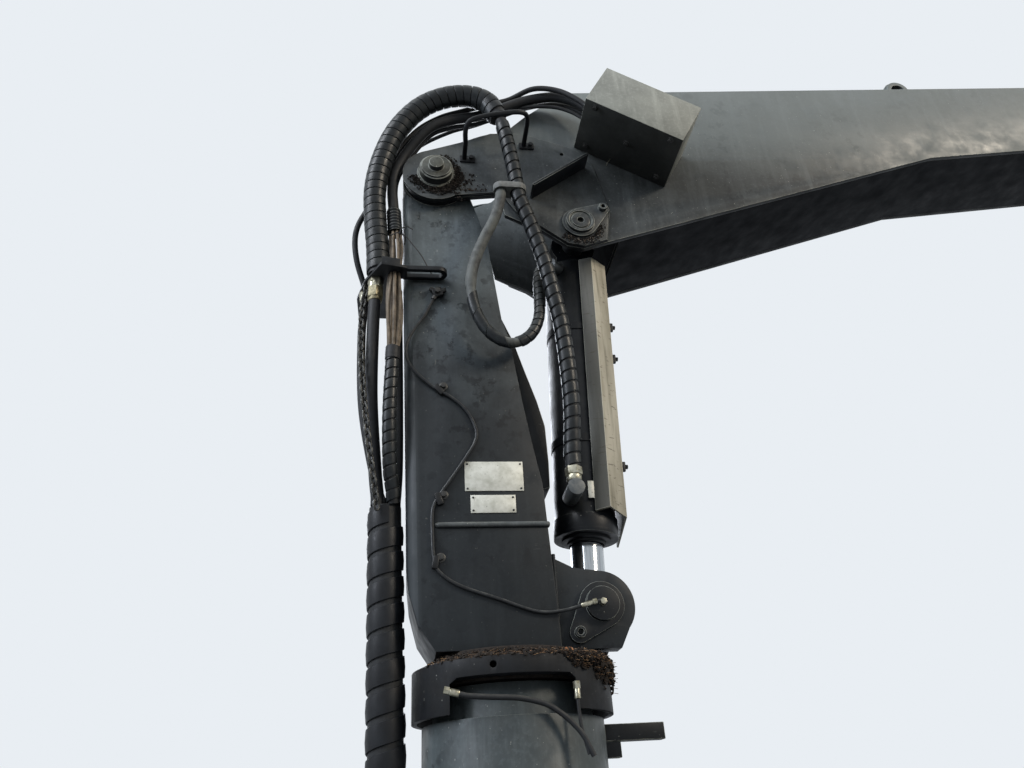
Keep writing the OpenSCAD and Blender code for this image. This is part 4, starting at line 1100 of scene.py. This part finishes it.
crust = round_pin(PIVOT, (50, 82), (-75, 80), 620) + round_pin(PIVOT, (52, 84), (-170, -20), 380)
crust += round_pin(PIVOT, (56, 130), (-60, 10), 160, thick_mm=2)
place_mesh("pivot_crust", crumbs(crust, (3, 9)), "dark_mud", "boom")
# Crumbs on the doubler's lower edge, which rises toward the left
EDGE_HIGH = 1738
lower_edge = []
for _ in range(240):
    x, y = dice.uniform(-205, -20), DOUBLER_Y - dice.uniform(0, 2)
    lower_edge.append((x, y, EDGE_HIGH + abs(dice.gauss(0, 10)) + max(0, -150 - x) * 0.6))
place_mesh("edge_crumbs", crumbs(lower_edge, (1.5, 5)), "litter_brown", "boom")
upper_arc = round_pin(UPPER, (54, 80), (-140, 0), 360)
place_mesh("upper_crust", crumbs(upper_arc, (2, 6)), "dark_mud", "boom")
pale_bits = round_pin(UPPER, (56, 78), (-130, -15), 110, thick_mm=6)
place_mesh("upper_bits", crumbs(pale_bits, (1.5, 4)), "pale_crumb", "boom")
print("dirt round the pins:", len(crust), "and", len(upper_arc) + len(pale_bits), "crumbs")

# %% [markdown]
# A floor and a plain bright world stand in for the sky, so that the crane's outline reads as it does
# against the clouds. Two soft lamps on the left give the sky's light, a smaller warm one on the right
# gives what sun there is, and a large one behind keeps the crane's back readable.

# %% Floor, world and lamps
BACKDROP = "#e9eef3"
FLOOR_HALF, FLOOR_GLOW = 80, 0.3


def seen_directly(tree):
    """1 for what the camera sees, straight or in a mirror or through glass, and 0 for the light itself."""
    path = add(tree, "LightPath").outputs
    straight = add(tree, "Math", {"operation": "MAXIMUM"}, {
        0: path["Is Camera Ray"], 1: path["Is Glossy Ray"]})
    return add(tree, "Math", {"operation": "MAXIMUM"}, {
        0: straight.outputs[0], 1: path["Is Transmission Ray"]}).outputs[0]


def pale_floor():
    """Large pale floor at the mount's level."""
    bm = bmesh.new()
    bmesh.ops.create_grid(bm, x_segments=1, y_segments=1, size=FLOOR_HALF)
    # Eye and mirror see it pale. Light meets it as dark as forest ground, so that the crane's undersides
    # stay as dark as they are outdoors.
    ground = Finish("pale_floor", paint("#282823"))
    seen = seen_directly(ground.tree)
    ground.coat("#8e9092", seen)
    ground.shader.inputs["Emission Color"].default_value = paint(BACKDROP)
    glow = add(ground.tree, "Math", {"operation": "MULTIPLY"}, {0: seen, 1: FLOOR_GLOW}).outputs[0]
    ground.tree.links.new(glow, ground.shader.inputs["Emission Strength"])
    ground.done(0.9)
    floor = place_mesh("floor", bm, "pale_floor")
    floor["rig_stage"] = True


def bright_world(sky, ground):
    """World that the camera sees as a plain pale backdrop, and that lights as open sky over dark woods."""
    world = bpy.data.worlds.new("sky")
    world.use_nodes = True
    tree = world.node_tree
    tree.nodes.clear()
    toward = add(tree, "TexCoord").outputs["Generated"]
    height = add(tree, "SeparateXYZ", inputs={"Vector": toward}).outputs["Z"]
    risen = add(tree, "MapRange", {"clamp": True}, {
        "Value": height, "From Min": 0.0, "From Max": 0.42}).outputs["Result"]
    light = add(tree, "Mix", {"data_type": "RGBA"}, {
        0: risen, MIX_BELOW: paint(ground), MIX_ABOVE: paint(sky)})
    soft = add(tree, "Background", inputs={"Color": light.outputs[MIXED], "Strength": 1.0})
    shown = add(tree, "Background", inputs={"Color": paint(BACKDROP), "Strength": 1.0})
    mix = add(tree, "MixShader", inputs={
        "Fac": seen_directly(tree), 1: soft.outputs[0], 2: shown.outputs[0]})
    add(tree, "OutputWorld", inputs={"Surface": mix.outputs[0]})
    bpy.context.scene.world = world


def lamp(name, place, target, size, watts, colour):
    """Soft rectangular lamp that looks at a point."""
    light = bpy.data.lights.new(name, "AREA")
    light.size = size
    light.energy = watts
    light.color = paint(colour)[:3]
    holder = bpy.data.objects.new(name, light)
    bpy.context.scene.collection.objects.link(holder)
    holder.location = place
    aim = Vector(target) - Vector(place)
    holder.rotation_euler = aim.to_track_quat("-Z", "Y").to_euler()


pale_floor()
bright_world("#dfe8f2", "#2c3029")
lamp("sky_left", (-4.2, -2.8, 5.8), (0, 0, 1.5), 3.0, 330, "#f4f8ff")
lamp("sky_strip", (-5.0, -1.8, 3.0), (-0.2, 0, 1.2), 1.6, 140, "#eaf2ff")
lamp("sun_side", (9.3, -7.4, 7.0), (0.3, 0, 1.5), 2.6, 950, "#fff1dc")
lamp("back_sky", (-1.0, 5.5, 4.5), (0, 0, 1.5), 4.0, 260, "#eef4ff")
print("lamps", [(light.name, light.energy) for light in bpy.data.lights])

# %% [markdown]
# Paint and rubber look as they do in a plain photograph, so the colours go to the picture unchanged.

# %% Scene settings
settings = bpy.context.scene.view_settings
settings.view_transform = "Standard"

low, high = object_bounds()
print("visual box", [round(v, 3) for v in low], [round(v, 3) for v in high])
